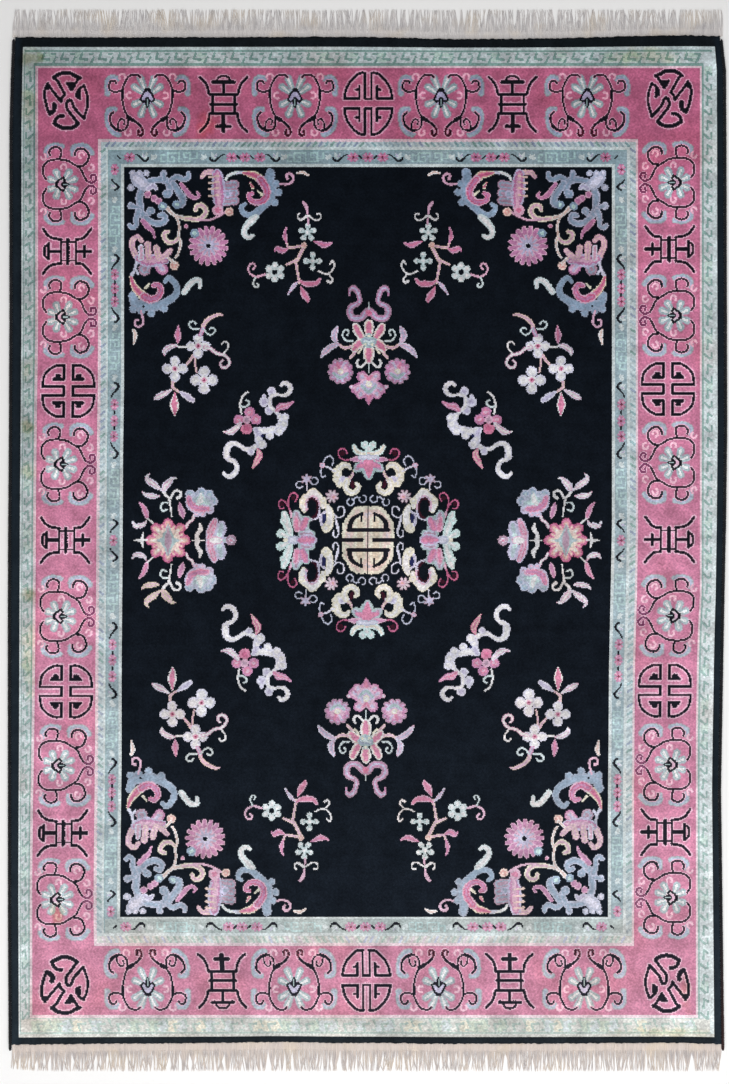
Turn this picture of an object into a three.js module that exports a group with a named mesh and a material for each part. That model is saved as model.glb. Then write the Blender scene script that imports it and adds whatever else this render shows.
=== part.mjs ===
// A hand-knotted wool rug lying flat, with a cotton fringe at both ends.
// Millimetres, +Z up. X runs across the rug, Y along it. The origin is on the floor
// under the middle of the rug, fringes included.
import * as THREE from 'three';

// Driving dimensions
const HALF_WIDTH = 853.5; // from the middle to the widest point of each side cord
const PILE_HALF_LENGTH = 1192; // from the middle to the mean line of each pile end
const FRINGE_HALF_LENGTH = 1260; // from the middle to the tips of the longest locks
const BODY_THICKNESS = 12; // foundation and clipped pile together
const RIM_WIDTH = 3; // how far the pile rolls over at its edge
const RIM_DROP = 2.5; // and how deep
const CORD_WIDTH = 8; // the overcast cord along each side
const CORD_HEIGHT = 8;
const CORD_FLAT = 4; // the flat that it lies on
const CORD_SHOULDER = 2.4; // how far its corners are rounded off, in height
const SEAM_GAP = 0.3; // between sewn pieces
const HEADER_DEPTH = 13; // the flat woven band that the locks hang from
const HEADER_THICKNESS = 3.2;
const LOCK_COUNT = 150; // on each end
const LOCK_ROOT_WIDTH = 7.4;
const LOCK_TIP_WIDTH = 2.6;
const TIP_SHORTFALL = 9; // the shortest locks end this far before the longest
const TIP_GAP = 1.2; // least space between neighbouring locks
const CALM_EDGE = 60; // the locks hang straighter this close to a corner
const TRIM_POWER = 2; // a higher power leaves fewer short locks

// How far each side comes in from the widest line, measured along the rug
const SIDE_WANDER = [
  { y: -1212, left: 2, right: 6.8 },
  { y: -875, left: 0.2, right: 11.1 },
  { y: -591, left: 0.2, right: 14.7 },
  { y: -378, left: 0, right: 10.9 },
  { y: -165, left: 0, right: 7.1 },
  { y: 48, left: 0.9, right: 2.6 },
  { y: 261, left: 2.6, right: 0 },
  { y: 545, left: 3.8, right: 0.7 },
  { y: 972, left: 3.8, right: 1.9 },
  { y: 1114, left: 7.3, right: 2.8 },
  { y: 1180, left: 10.4, right: 10.2 },
];

// How far each pile end goes out past its mean line, measured across the rug
const END_WANDER = [
  { x: -846, top: 0.4, bottom: 3 },
  { x: -610, top: -0.7, bottom: 0.7 },
  { x: -344, top: 0.2, bottom: -1.2 },
  { x: -212, top: 0.6, bottom: -3.8 },
  { x: -79, top: 1.4, bottom: -1.4 },
  { x: 86, top: -1.6, bottom: -0.5 },
  { x: 186, top: -4.5, bottom: 0.8 },
  { x: 352, top: -3.8, bottom: 0.6 },
  { x: 484, top: -1.9, bottom: 0 },
  { x: 617, top: 2.4, bottom: -1 },
  { x: 749, top: 4.6, bottom: -1.4 },
  { x: 846, top: 2.6, bottom: 1.8 },
];

// The two ends: which way the fringe points, how far its band stays inside the cords'
// outer lines, and how far the side cords run past the pile
const ENDS = {
  top: { sign: 1, seed: 11, bandInset: 1, cordReach: -4 },
  bottom: { sign: -1, seed: 29, bandInset: CORD_WIDTH + SEAM_GAP, cordReach: 18 },
};

// Waves of lean that gather the locks into groups: how far the tips swing, over what
// length across the rug, and where the wave starts
const LEAN_WAVES = [
  { swing: 8, length: 52, start: 0.4 },
  { swing: 4.5, length: 17, start: 1.9 },
  { swing: 1.4, length: 6.5, start: 3.1 },
];

// A lock past its root: how far along and how far into its swing, its width and height
const LOCK_SECTIONS = [
  { share: 0.5, swing: 0.3, width: 6.2, height: 2.8 },
  { share: 1, swing: 1, width: LOCK_TIP_WIDTH, height: 1.8 },
];

// Colour and roughness of each yarn
const PILE_WOOL = { color: 0x1b1e28, roughness: 0.95 };
const CORD_WOOL = { color: 0x14161c, roughness: 0.9 };
const FRINGE_COTTON = { color: 0xd6d1c8, roughness: 0.9 };

/** Reads one column of a table whose key rises, along straight lines between its rows. */
function fromTable(table, key, at, column) {
  const next = table.findIndex((row) => row[key] >= at);
  if (next === 0) {
    return table[0][column];
  }
  if (next < 0) {
    return table[table.length - 1][column];
  }
  const low = table[next - 1];
  const high = table[next];
  return THREE.MathUtils.mapLinear(at, low[key], high[key], low[column], high[column]);
}

/** The two ends of a stretch with each row of a table that lies between them. */
function stationsBetween(table, key, from, to) {
  const inside = table.map((row) => row[key]).filter((at) => at > from && at < to);
  return [from, ...inside, to];
}

/** The outer line of a side cord: side is -1 on the left and 1 on the right. */
function cordEdge(side, y) {
  const column = side < 0 ? 'left' : 'right';
  return side * (HALF_WIDTH - fromTable(SIDE_WANDER, 'y', y, column));
}

/** The line where the pile ends at one end of the rug. */
function pileEnd(name, x) {
  return ENDS[name].sign * (PILE_HALF_LENGTH + fromTable(END_WANDER, 'x', x, name));
}

/** A repeatable stream of numbers from 0 to 1, by repeated multiplication modulo a prime. */
function numberStream(seed) {
  const prime = 2147483647;
  const factor = 16807;
  let state = seed * factor;
  return () => {
    state = (state * factor) % prime;
    return state / prime;
  };
}

/** A closed geometry from corner triples and the triangles that join them. */
function closedGeometry(corners, triangles) {
  const geometry = new THREE.BufferGeometry();
  geometry.setAttribute('position', new THREE.Float32BufferAttribute(corners.flat(), 3));
  geometry.setIndex(triangles.flat());
  geometry.computeVertexNormals();
  return geometry;
}

/**
 * A slab that lies on the floor. Each point has x, y and its height; the triangles
 * run anticlockwise seen from above. A wall closes every edge that one triangle uses.
 */
function floorSlab(points, triangles) {
  const count = points.length;
  const corners = [
    ...points.map((point) => [point.x, point.y, point.height]),
    ...points.map((point) => [point.x, point.y, 0]),
  ];
  const faces = [];
  const edges = new Set();
  for (const [a, b, c] of triangles) {
    faces.push([a, b, c]);
    faces.push([a + count, c + count, b + count]);
    edges.add(`${a},${b}`);
    edges.add(`${b},${c}`);
    edges.add(`${c},${a}`);
  }
  for (const edge of edges) {
    const [from, to] = edge.split(',').map(Number);
    if (!edges.has(`${to},${from}`)) {
      faces.push([from, from + count, to + count]);
      faces.push([from, to + count, to]);
    }
  }
  return closedGeometry(corners, faces);
}

/** A section, anticlockwise seen along +Y, carried along the rug through its centres. */
function sweepAlong(section, centres) {
  const corners = [];
  const faces = [];
  const sides = section.length;
  for (const centre of centres) {
    for (const point of section) {
      corners.push([centre.x + point.x, centre.y, point.z]);
    }
  }
  for (let ring = 0; ring + 1 < centres.length; ring += 1) {
    for (let side = 0; side < sides; side += 1) {
      const a = ring * sides + side;
      const b = ring * sides + ((side + 1) % sides);
      faces.push([a, b + sides, b]);
      faces.push([a, a + sides, b + sides]);
    }
  }
  const last = (centres.length - 1) * sides;
  for (let side = 1; side + 1 < sides; side += 1) {
    faces.push([0, side, side + 1]);
    faces.push([last, last + side + 1, last + side]);
  }
  return closedGeometry(corners, faces);
}

/** The body's outline, anticlockwise from its bottom left corner, moved in by an inset. */
function bodyOutline(inset) {
  const away = CORD_WIDTH + SEAM_GAP + inset;
  const sideX = (side, y) => cordEdge(side, y) - side * away;
  const endY = (name, x) => pileEnd(name, x) - ENDS[name].sign * inset;
  const corner = (name, side) => {
    const y = endY(name, side * (HALF_WIDTH - away));
    return { x: sideX(side, y), y };
  };
  const endLine = (name) =>
    stationsBetween(END_WANDER, 'x', corner(name, -1).x, corner(name, 1).x)
      .map((x) => ({ x, y: endY(name, x) }));
  const sideLine = (side) =>
    stationsBetween(SIDE_WANDER, 'y', corner('bottom', side).y, corner('top', side).y)
      .slice(1, -1)
      .map((y) => ({ x: sideX(side, y), y }));
  return [
    ...endLine('bottom'),
    ...sideLine(1),
    ...endLine('top').reverse(),
    ...sideLine(-1).reverse(),
  ];
}

/** The knotted body: one flat slab whose top edge rolls over. */
function bodyGeometry() {
  const edge = bodyOutline(0).map((point) => ({ ...point, height: BODY_THICKNESS - RIM_DROP }));
  const top = bodyOutline(RIM_WIDTH).map((point) => ({ ...point, height: BODY_THICKNESS }));
  const count = edge.length;
  const triangles = [];
  for (let i = 0; i < count; i += 1) {
    const next = (i + 1) % count;
    triangles.push([i, next, count + next]);
    triangles.push([i, count + next, count + i]);
  }
  const contour = top.map((point) => new THREE.Vector2(point.x, point.y));
  for (const face of THREE.ShapeUtils.triangulateShape(contour, [])) {
    triangles.push(face.map((index) => index + count));
  }
  return floorSlab([...edge, ...top], triangles);
}

/** The overcast cord of one side, flat where it lies on the floor. */
function cordGeometry(side) {
  const half = CORD_WIDTH / 2;
  const flat = CORD_FLAT / 2;
  const section = [
    { x: -flat, z: 0 },
    { x: flat, z: 0 },
    { x: half, z: CORD_SHOULDER },
    { x: half, z: CORD_HEIGHT - CORD_SHOULDER },
    { x: flat, z: CORD_HEIGHT },
    { x: -flat, z: CORD_HEIGHT },
    { x: -half, z: CORD_HEIGHT - CORD_SHOULDER },
    { x: -half, z: CORD_SHOULDER },
  ];
  const from = -(PILE_HALF_LENGTH + ENDS.bottom.cordReach);
  const to = PILE_HALF_LENGTH + ENDS.top.cordReach;
  const centres = stationsBetween(SIDE_WANDER, 'y', from, to)
    .map((y) => ({ x: cordEdge(side, y) - side * half, y }));
  return sweepAlong(section, centres);
}

/** How far the tip of the lock that hangs at x swings to the side. */
function lean(x, seed) {
  return LEAN_WAVES.reduce(
    (sum, wave) => sum + wave.swing * Math.sin(x / wave.length + wave.start * seed),
    0,
  );
}

/** Where one end's band stops at a side. */
function bandEdge(name, side) {
  const { sign, bandInset } = ENDS[name];
  return cordEdge(side, sign * (PILE_HALF_LENGTH + HEADER_DEPTH)) - side * bandInset;
}

/** The places and lengths of one end's locks, from left to right. */
function lockRows(name) {
  const { sign, seed } = ENDS[name];
  const random = numberStream(seed);
  const left = bandEdge(name, -1);
  const right = bandEdge(name, 1);
  const pitch = (right - left) / LOCK_COUNT;
  const locks = [];
  for (let i = 0; i < LOCK_COUNT; i += 1) {
    const root = left + pitch * (i + 0.5);
    const reach = FRINGE_HALF_LENGTH - TIP_SHORTFALL * random() ** TRIM_POWER;
    const calm = Math.min(1, Math.min(root - left, right - root) / CALM_EDGE);
    locks.push({ root, tip: root + calm * lean(root, seed), reach: sign * reach });
  }
  locks[Math.round(LOCK_COUNT / 2)].reach = sign * FRINGE_HALF_LENGTH;
  for (let i = 1; i < LOCK_COUNT; i += 1) {
    const least = locks[i - 1].tip + LOCK_TIP_WIDTH + TIP_GAP;
    locks[i].tip = Math.max(locks[i].tip, least);
  }
  return locks;
}

/** One end's fringe: the woven band and the locks that hang from it, all on the floor. */
function fringeGeometry(name) {
  const { sign } = ENDS[name];
  const points = [];
  const triangles = [];
  const place = (x, y, height) => points.push({ x, y, height }) - 1;
  const quad = (a, b, c, d) => {
    const ring = sign > 0 ? [a, b, c, d] : [d, c, b, a];
    triangles.push([ring[0], ring[1], ring[2]]);
    triangles.push([ring[0], ring[2], ring[3]]);
  };
  const seam = (x) => pileEnd(name, x) + sign * SEAM_GAP;
  const rootLine = (x) => seam(x) + sign * HEADER_DEPTH;
  const bandPair = (x) => ({
    seam: place(x, seam(x), HEADER_THICKNESS),
    root: place(x, rootLine(x), HEADER_THICKNESS),
  });
  let previous = bandPair(bandEdge(name, -1));
  for (const lock of lockRows(name)) {
    const left = bandPair(lock.root - LOCK_ROOT_WIDTH / 2);
    const right = bandPair(lock.root + LOCK_ROOT_WIDTH / 2);
    quad(previous.seam, left.seam, left.root, previous.root);
    quad(left.seam, right.seam, right.root, left.root);
    let low = [left.root, right.root];
    for (const { share, width, swing, height } of LOCK_SECTIONS) {
      const x = THREE.MathUtils.lerp(lock.root, lock.tip, swing);
      const y = THREE.MathUtils.lerp(rootLine(lock.root), lock.reach, share);
      const high = [place(x - width / 2, y, height), place(x + width / 2, y, height)];
      quad(low[0], low[1], high[1], high[0]);
      low = high;
    }
    previous = right;
  }
  const end = bandPair(bandEdge(name, 1));
  quad(previous.seam, end.seam, end.root, previous.root);
  return floorSlab(points, triangles);
}

/** A named piece with a matt finish of its own. */
function piece(name, geometry, yarn) {
  const mesh = new THREE.Mesh(geometry, new THREE.MeshStandardMaterial({ ...yarn, metalness: 0 }));
  mesh.name = name;
  return mesh;
}

const rug = new THREE.Group();
rug.add(piece('rug_body', bodyGeometry(), PILE_WOOL));
rug.add(piece('side_cord_left', cordGeometry(-1), CORD_WOOL));
rug.add(piece('side_cord_right', cordGeometry(1), CORD_WOOL));
rug.add(piece('fringe_top', fringeGeometry('top'), FRINGE_COTTON));
rug.add(piece('fringe_bottom', fringeGeometry('bottom'), FRINGE_COTTON));

export default rug;
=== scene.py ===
"""A hand-knotted wool rug laid flat: a dark field of flowers round a shou roundel, a pink
border between narrow guard stripes, overcast sides and a cotton fringe at each end.

The pattern is drawn on a weaver's chart that holds one wool for each knot, and the pile
is built from the chart row by row. Places on the chart are in knots from the middle of
the rug: the first number runs to the right, the second down towards the near end.
"""
import logging
import math
from dataclasses import dataclass, field, replace
from enum import Enum
from typing import Iterable, Sequence

import bpy
import numpy as np
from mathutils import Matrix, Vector


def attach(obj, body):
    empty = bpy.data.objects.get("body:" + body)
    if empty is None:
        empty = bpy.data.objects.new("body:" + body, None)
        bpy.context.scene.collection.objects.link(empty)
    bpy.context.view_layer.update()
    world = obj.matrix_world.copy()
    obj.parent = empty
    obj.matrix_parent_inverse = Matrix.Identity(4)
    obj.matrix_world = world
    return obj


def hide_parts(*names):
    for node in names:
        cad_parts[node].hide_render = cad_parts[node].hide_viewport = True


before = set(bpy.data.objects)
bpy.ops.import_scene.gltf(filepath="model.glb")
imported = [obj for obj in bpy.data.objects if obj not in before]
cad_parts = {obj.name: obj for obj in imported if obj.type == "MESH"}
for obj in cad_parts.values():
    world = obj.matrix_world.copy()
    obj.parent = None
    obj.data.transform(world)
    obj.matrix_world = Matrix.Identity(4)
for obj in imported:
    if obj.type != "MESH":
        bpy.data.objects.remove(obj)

log = logging.getLogger("rug")

Point = tuple[float, float]
Colour = tuple[float, float, float, float]
Piece = bpy.types.Object
Material = bpy.types.Material
Socket = bpy.types.NodeSocket

KNOT = 0.002368          # the pitch of the knots, in metres
COLUMNS = 715
ROWS = 1007
SAMPLE = 0.5             # the step along a drawn line, in knots
MINGLE = 0.22            # how far two wools of one mark mingle
RAGGED = 0.12            # how ragged the rim of a wide mark is
RAGGED_HALF = 1.6        # half the width from which a mark is ragged
LEAST_HALF = 0.58        # half the width of the thinnest line


class Wool(Enum):
    """The wools of the rug, each with its colour at the far end, before the painted light that brightens
    the pile towards the near end.
    """

    NIGHT = "0b1017"
    JET = "15151c"
    SOOT = "12171b"
    PLUM = "9c4468"
    PINK = "aa5c7b"
    SHELL = "c48fa8"
    ROSY = "dba4b7"
    BLUSH = "c9b0bb"
    PEARL = "b4c0c3"
    FOG = "afb9bd"
    HAZE = "a4b9b3"
    PALE = "b8abb6"
    MOSS = "72908c"
    STONE = "8096a0"
    TEAL = "76949a"
    STEEL = "a6b5ba"
    ASH = "999fb7"
    SLATE = "8a9ca6"
    KEY = "a8c8c8"
    MILK = "c9c8cc"
    CREAM = "c6c1af"
    TAN = "b9a994"
    MINT = "afbec3"
    SAGE = "849b9f"
    SKY = "758aa3"
    MIST = "7d8aa1"
    LILAC = "a09bba"
    LAVENDER = "b9b9ce"
    ORCHID = "a56891"
    MAUVE = "8e7187"
    DUSK = "93788a"
    PETAL = "bc91ab"
    ROSE = "b76586"
    CRIMSON = "ab4d71"
    CORAL = "be8481"
    PEACH = "c6aba4"
    WINE = "5c2334"
    SLOE = "2e101c"
    NAVY = "20244c"
    DEW = "98b6b8"
    HEATHER = "8b95ad"
    BERRY = "561d3e"
    FLINT = "909fa0"
    BIRCH = "b2b3b0"
    CHALK = "b6b7b2"
    REED = "8fa49d"
    WILLOW = "a9b7a8"

    @property
    def srgb(self) -> tuple[float, float, float]:
        """The colour as three display values from 0 to 1."""
        return tuple(int(self.value[i : i + 2], 16) / 255 for i in (0, 2, 4))


Mix = tuple[Wool, ...]

WOOLS = tuple(Wool)
CODE = {wool: number for number, wool in enumerate(WOOLS)}
WOOL_SHADES = np.array([wool.srgb for wool in WOOLS])


def mixed(names: str) -> Mix:
    """The wools of a mark from its rim to its core, such as "ash/mist/sky"."""
    return tuple(Wool[name.upper()] for name in names.split("/"))


def sampled(points: np.ndarray, sharp: bool) -> tuple[np.ndarray, np.ndarray]:
    """Samples a line through a few points.

    Args:
        points: the points, one row each.
        sharp: whether it runs straight from point to point, with corners.

    Returns:
        The samples, and how far along its points each one lies, from 0 to 1.
    """
    ends = 2 * points[[0, -1]] - points[[1, -2]]
    padded = np.vstack([ends[0], points, ends[1]])
    samples, shares = [], []
    spans = len(points) - 1
    for k in range(spans):
        a, b, c, d = padded[k : k + 4]
        count = max(2, int(np.hypot(*(c - b)) / SAMPLE) + 1)
        t = np.linspace(0, 1, count, endpoint=k == spans - 1)[:, None]
        if sharp:
            samples.append(b + (c - b) * t)
        else:
            samples.append(0.5 * (2 * b + (c - a) * t + (2 * a - 5 * b + 4 * c - d) * t**2
                                  + (3 * b - a - 3 * c + d) * t**3))
        shares.append((k + t[:, 0]) / spans)
    return np.vstack(samples), np.concatenate(shares)


class Chart:
    """The weaver's chart: a wool for each knot, as a number into WOOLS."""

    def __init__(self, columns: int = COLUMNS, rows: int = ROWS, seed: int = 7) -> None:
        """Starts a chart that is all ground.

        Args:
            columns: knots across the rug.
            rows: knots along it.
            seed: the seed of the hand's unevenness.
        """
        self.columns = columns
        self.rows = rows
        self.knots = np.full((rows, columns), CODE[Wool.NIGHT], np.uint8)
        random = np.random.default_rng(seed)
        rough = random.random((rows, columns)) - 0.5
        self.grain = rough + 0.5 * (np.roll(rough, 1, 0) + np.roll(rough, 1, 1))

    def lay(self, path: np.ndarray, shares: np.ndarray, widths: Sequence[float], mix: Mix) -> None:
        """Knots one mark: every knot within half a width of the path.

        Args:
            path: samples of the mark's middle line, in knots from the rug's middle.
            shares: how far along the mark each sample lies.
            widths: its widths, spread evenly along it.
            mix: its wools.
        """
        half = np.interp(shares, np.linspace(0, 1, len(widths)), widths) / 2
        half = np.maximum(half, LEAST_HALF)
        x = path[:, 0] + self.columns / 2
        y = path[:, 1] + self.rows / 2
        reach = half.max() + 1.5
        left, right = max(int(x.min() - reach), 0), min(int(x.max() + reach) + 1, self.columns)
        top, bottom = max(int(y.min() - reach), 0), min(int(y.max() + reach) + 1, self.rows)
        if left >= right or top >= bottom:
            return
        across = np.arange(left, right)[None, :, None] + 0.5 - x
        down = np.arange(top, bottom)[:, None, None] + 0.5 - y
        near = np.hypot(across, down) / half
        place = near.argmin(2)
        depth = 1 - np.take_along_axis(near, place[:, :, None], 2)[:, :, 0]
        grain = self.grain[top:bottom, left:right]
        inside = depth + RAGGED * grain * (half[place] > RAGGED_HALF) >= 0
        level = np.clip(depth, 0, 1) + MINGLE * grain
        codes = np.array([CODE[wool] for wool in mix], np.uint8)
        choice = np.clip((level * len(codes)).astype(int), 0, len(codes) - 1)
        self.knots[top:bottom, left:right][inside] = codes[choice[inside]]

    def fill(self, left: float, top: float, right: float, bottom: float, wool: Wool) -> None:
        """Knots a plain rectangle between four edges, in knots from the rug's middle."""
        c0, c1 = round(left + self.columns / 2), round(right + self.columns / 2)
        r0, r1 = round(top + self.rows / 2), round(bottom + self.rows / 2)
        self.knots[max(r0, 0) : r1, max(c0, 0) : c1] = CODE[wool]


def swung(middle: Point, reach: float, degrees: float) -> Point:
    """The point at a distance from a middle, at an angle clockwise from the right."""
    angle = math.radians(degrees)
    return middle[0] + reach * math.cos(angle), middle[1] + reach * math.sin(angle)


@dataclass(frozen=True)
class Pen:
    """Draws on a chart from a place of its own, turned or mirrored as the repeat asks."""

    chart: Chart
    place: Point = (0.0, 0.0)
    across: Point = (1.0, 0.0)
    down: Point = (0.0, 1.0)

    def chart_points(self, points: Sequence[Point]) -> np.ndarray:
        """The pen's own points as places on the chart."""
        return np.array(self.place) + np.array(points, float) @ np.array([self.across, self.down])

    def at(self, x: float, y: float) -> "Pen":
        """The same pen, moved to a place of its own."""
        return replace(self, place=tuple(self.chart_points([(x, y)])[0]))

    def scaled(self, x: float, y: float) -> "Pen":
        """The same pen with its own steps stretched; minus one mirrors them."""
        across = (self.across[0] * x, self.across[1] * x)
        return replace(self, across=across, down=(self.down[0] * y, self.down[1] * y))

    def line(self, mix: Mix, widths: Sequence[float], *points: Point) -> None:
        """Draws a smooth line through the points."""
        own = self.chart_points(points)
        self.chart.lay(*sampled(own, sharp=len(own) == 2), widths, mix)

    def bar(self, mix: Mix, widths: Sequence[float], *points: Point) -> None:
        """Draws straight runs between the points."""
        self.chart.lay(*sampled(self.chart_points(points), sharp=True), widths, mix)

    def spot(self, mix: Mix, radius: Sequence[float], *points: Point) -> None:
        """Draws a round spot at each of the points."""
        for point in points:
            own = self.chart_points([point])
            own = np.vstack([own, own + 0.01])
            self.chart.lay(*sampled(own, sharp=True), [2 * radius[0]], mix)

    def curl(self, mix: Mix, widths: Sequence[float], middle: Point, radius: Point,
             turn: Point) -> None:
        """Draws part of a ring, or a spiral.

        Args:
            mix, widths: its wools and its widths.
            middle: the middle of the ring.
            radius: its radius at the start, and the share of it that is left at the end.
            turn: the angle where it starts and how far it turns, in degrees.
        """
        count = max(4, int(abs(turn[1]) / 40))
        self.line(mix, widths, *(
            swung(middle, radius[0] * (1 + (radius[1] - 1) * k / count), turn[0] + turn[1] * k / count)
            for k in range(count + 1)))

    def bloom(self, mix: Mix, widths: Sequence[float], middle: Point, reach: Point,
              petals: Point) -> None:
        """Draws petals round a middle.

        Args:
            mix, widths: the wools and the widths of each petal.
            middle: the middle of the flower.
            reach: where each petal starts and ends, from the middle.
            petals: how many there are, and the first one's angle in degrees.
        """
        count, start = petals
        for k in range(int(count)):
            self.bar(mix, widths, *(swung(middle, r, start + 360 * k / count) for r in reach))

    def ring(self, mix: Mix, radius: Sequence[float], middle: Point, spots: Point) -> None:
        """Draws a ring of spots, given how far out they stand and how many there are."""
        reach, count = spots
        self.spot(mix, radius, *(swung(middle, reach, 360 * k / count) for k in range(int(count))))


class Mirror(Enum):
    """The mirror images that a group of marks is drawn in, as factors for x and y."""

    ONCE = ((1, 1),)
    BOTH = ((1, 1), (-1, 1))
    DOWN = ((1, 1), (1, -1))
    FOUR = ((1, 1), (1, -1), (-1, 1), (-1, -1))


@dataclass(frozen=True)
class Mark:
    """One mark of a motif, or the heading of a group of marks.

    Fields:
        kind: how the pen draws it. A heading's is its mirror.
        mix: its wools, rim first. A heading's are those of a halo round its group.
        widths: its widths, spread evenly along it. A heading's is the halo's.
        runs: its points, or the pairs that its kind asks for, once for each time that it
            is drawn. A heading's is the place of its group.
    """

    kind: str
    mix: Mix
    widths: tuple[float, ...]
    runs: tuple[tuple[Point, ...], ...]

    @classmethod
    def read(cls, text: str) -> "Mark":
        """Reads a mark, such as "spot ash/sky 5 20,15"; with no kind it is a line."""
        kind, *words = text.split("&")[0].split()
        if kind[0].isdigit() or kind.split("/")[0].upper() in Wool.__members__:
            kind, words = "line", [kind, *words]
        wools = [mixed(word) for word in words if word[0].isalpha()]
        widths = [float(word) for word in words if not word[0].isalpha() and "," not in word]
        runs = [[tuple(map(float, word.split(","))) for word in run.split() if "," in word]
                for run in text.split("&")]
        return cls(kind, wools[0] if wools else (), tuple(widths), tuple(map(tuple, runs)))

    def draw(self, pen: Pen, mix: Mix = (), wider: float = 0.0) -> None:
        """Draws the mark, or its part of a halo when it is given the halo's wool."""
        for run in self.runs:
            getattr(pen, self.kind)(mix or self.mix, [w + wider for w in self.widths], *run)


@dataclass(frozen=True)
class Motif:
    """A drawing of marks in groups, each under a heading.

    Fields:
        text: a heading or a mark on each line: its kind, its wools, its widths and its
            points. A mark without a kind is a smooth line, one without wools has those of
            the mark before it, and after "&" come the points of one more like it. A line
            that starts with a space goes on with the one before it.
        flat: its height as a share of the drawn height.
    """

    text: str
    flat: float = 1.0

    def draw(self, pen: Pen) -> None:
        """Draws the motif group by group, each in all its mirror images.

        Args:
            pen: a pen at its middle.
        """
        lines = self.text.strip().replace("\n ", " ").splitlines()
        groups: list[tuple[Mark, list[Mark]]] = []
        wools: Mix = ()
        for mark in map(Mark.read, lines):
            if mark.kind.upper() in Mirror.__members__:
                groups.append((mark, []))
            else:
                wools = mark.mix or wools
                groups[-1][1].append(replace(mark, mix=wools))
        for heading, marks in groups:
            place = (heading.runs[0] or ((0, 0),))[0]
            pens = [pen.scaled(x, y * self.flat).at(*place)
                    for x, y in Mirror[heading.kind.upper()].value]
            passes = [(heading.mix, 2 * width) for width in heading.widths] + [((), 0.0)]
            for mix, wider in passes:
                for each in pens:
                    for mark in marks:
                        mark.draw(each, mix, wider)


class Side(Enum):
    """The four sides of the rug as the chart shows them, as the way they face."""

    LEFT = (-1, 0)
    TOP = (0, -1)
    RIGHT = (1, 0)
    BOTTOM = (0, 1)

    @property
    def upright(self) -> bool:
        """Whether the side runs along the rug."""
        return self.value[1] == 0

    @property
    def sign(self) -> int:
        """Minus one for the sides where the chart starts, one for the others."""
        return sum(self.value)


@dataclass(frozen=True)
class Stripe:
    """One stripe of the border.

    Fields:
        name: its name.
        wool: its wool.
        widths: its width on each side, in knots.
        near: the wool that takes over at the near end, if another one does.
    """

    name: str
    wool: Wool
    widths: tuple[float, float, float, float]
    near: Wool | None = None


@dataclass(frozen=True)
class Run:
    """One side of one stripe.

    Fields:
        side: which side.
        pen: a pen at the middle of its outer edge, with its own y towards the field.
        depth: the stripe's width there.
        half: half the stripe's length along its inner edge.
    """

    side: Side
    pen: Pen
    depth: float
    half: float


@dataclass
class Borders:
    """The black rim, the guard stripes and the wide pink border."""

    chart: Chart
    stripes: tuple[Stripe, ...] = (
        Stripe("rim", Wool.SOOT, (10.3, 10.5, 7.5, 7.3)),
        Stripe("outer white", Wool.PEARL, (2, 2.5, 3, 2.7), Wool.CHALK),
        Stripe("outer line", Wool.MOSS, (1, 2, 1, 1.8), Wool.REED),
        Stripe("outer guard", Wool.FOG, (9.4, 11.5, 9, 13), Wool.CHALK),
        Stripe("inner line", Wool.MOSS, (2.5, 2.5, 2.5, 1.5), Wool.REED),
        Stripe("outer blush", Wool.BLUSH, (2.4, 2.0, 2.2, 2.5)),
        Stripe("border", Wool.PINK, (60.9, 71, 61.8, 69.5)),
        Stripe("inner blush", Wool.BLUSH, (2.2, 2.8, 2.4, 2.8)),
        Stripe("hatched guard", Wool.STEEL, (4.9, 5, 5.6, 6.5), Wool.BIRCH),
        Stripe("middle white", Wool.PEARL, (2.4, 3.4, 3, 3)),
        Stripe("thin line", Wool.TEAL, (1, 1.2, 0, 0)),
        Stripe("scroll guard", Wool.STONE, (12.3, 12.6, 12, 13.9), Wool.FLINT),
        Stripe("inner white", Wool.PEARL, (2.4, 3, 3, 2.9)),
    )
    runs: dict[str, tuple[Run, ...]] = field(default_factory=dict)
    field_edges: dict[Side, float] = field(default_factory=dict)

    def lay_out(self) -> None:
        """Fills the stripes from the outside in, and notes where each one runs."""
        chart = self.chart
        edges = {side: side.sign * (chart.columns if side.upright else chart.rows) / 2
                 for side in Side}
        for stripe in self.stripes:
            chart.fill(*edges.values(), stripe.wool)
            widths = dict(zip(Side, stripe.widths))
            inner = {side: edges[side] - side.sign * widths[side] for side in Side}
            if stripe.near:
                end = edges[Side.BOTTOM]
                start = end - widths[Side.BOTTOM]
                chart.fill(edges[Side.LEFT], start, edges[Side.RIGHT], end, stripe.near)
            runs = []
            for side in Side:
                edge, sign = edges[side], float(side.sign)
                pen = Pen(chart, (0.0, edge), (1.0, 0.0), (0.0, -sign))
                if side.upright:
                    pen = Pen(chart, (edge, 0.0), (0.0, 1.0), (-sign, 0.0))
                half = inner[Side.BOTTOM if side.upright else Side.RIGHT]
                runs.append(Run(side, pen, widths[side], half))
            self.runs[stripe.name] = tuple(runs)
            edges = inner
        self.field_edges = edges
        chart.fill(*edges.values(), Wool.NIGHT)


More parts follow.
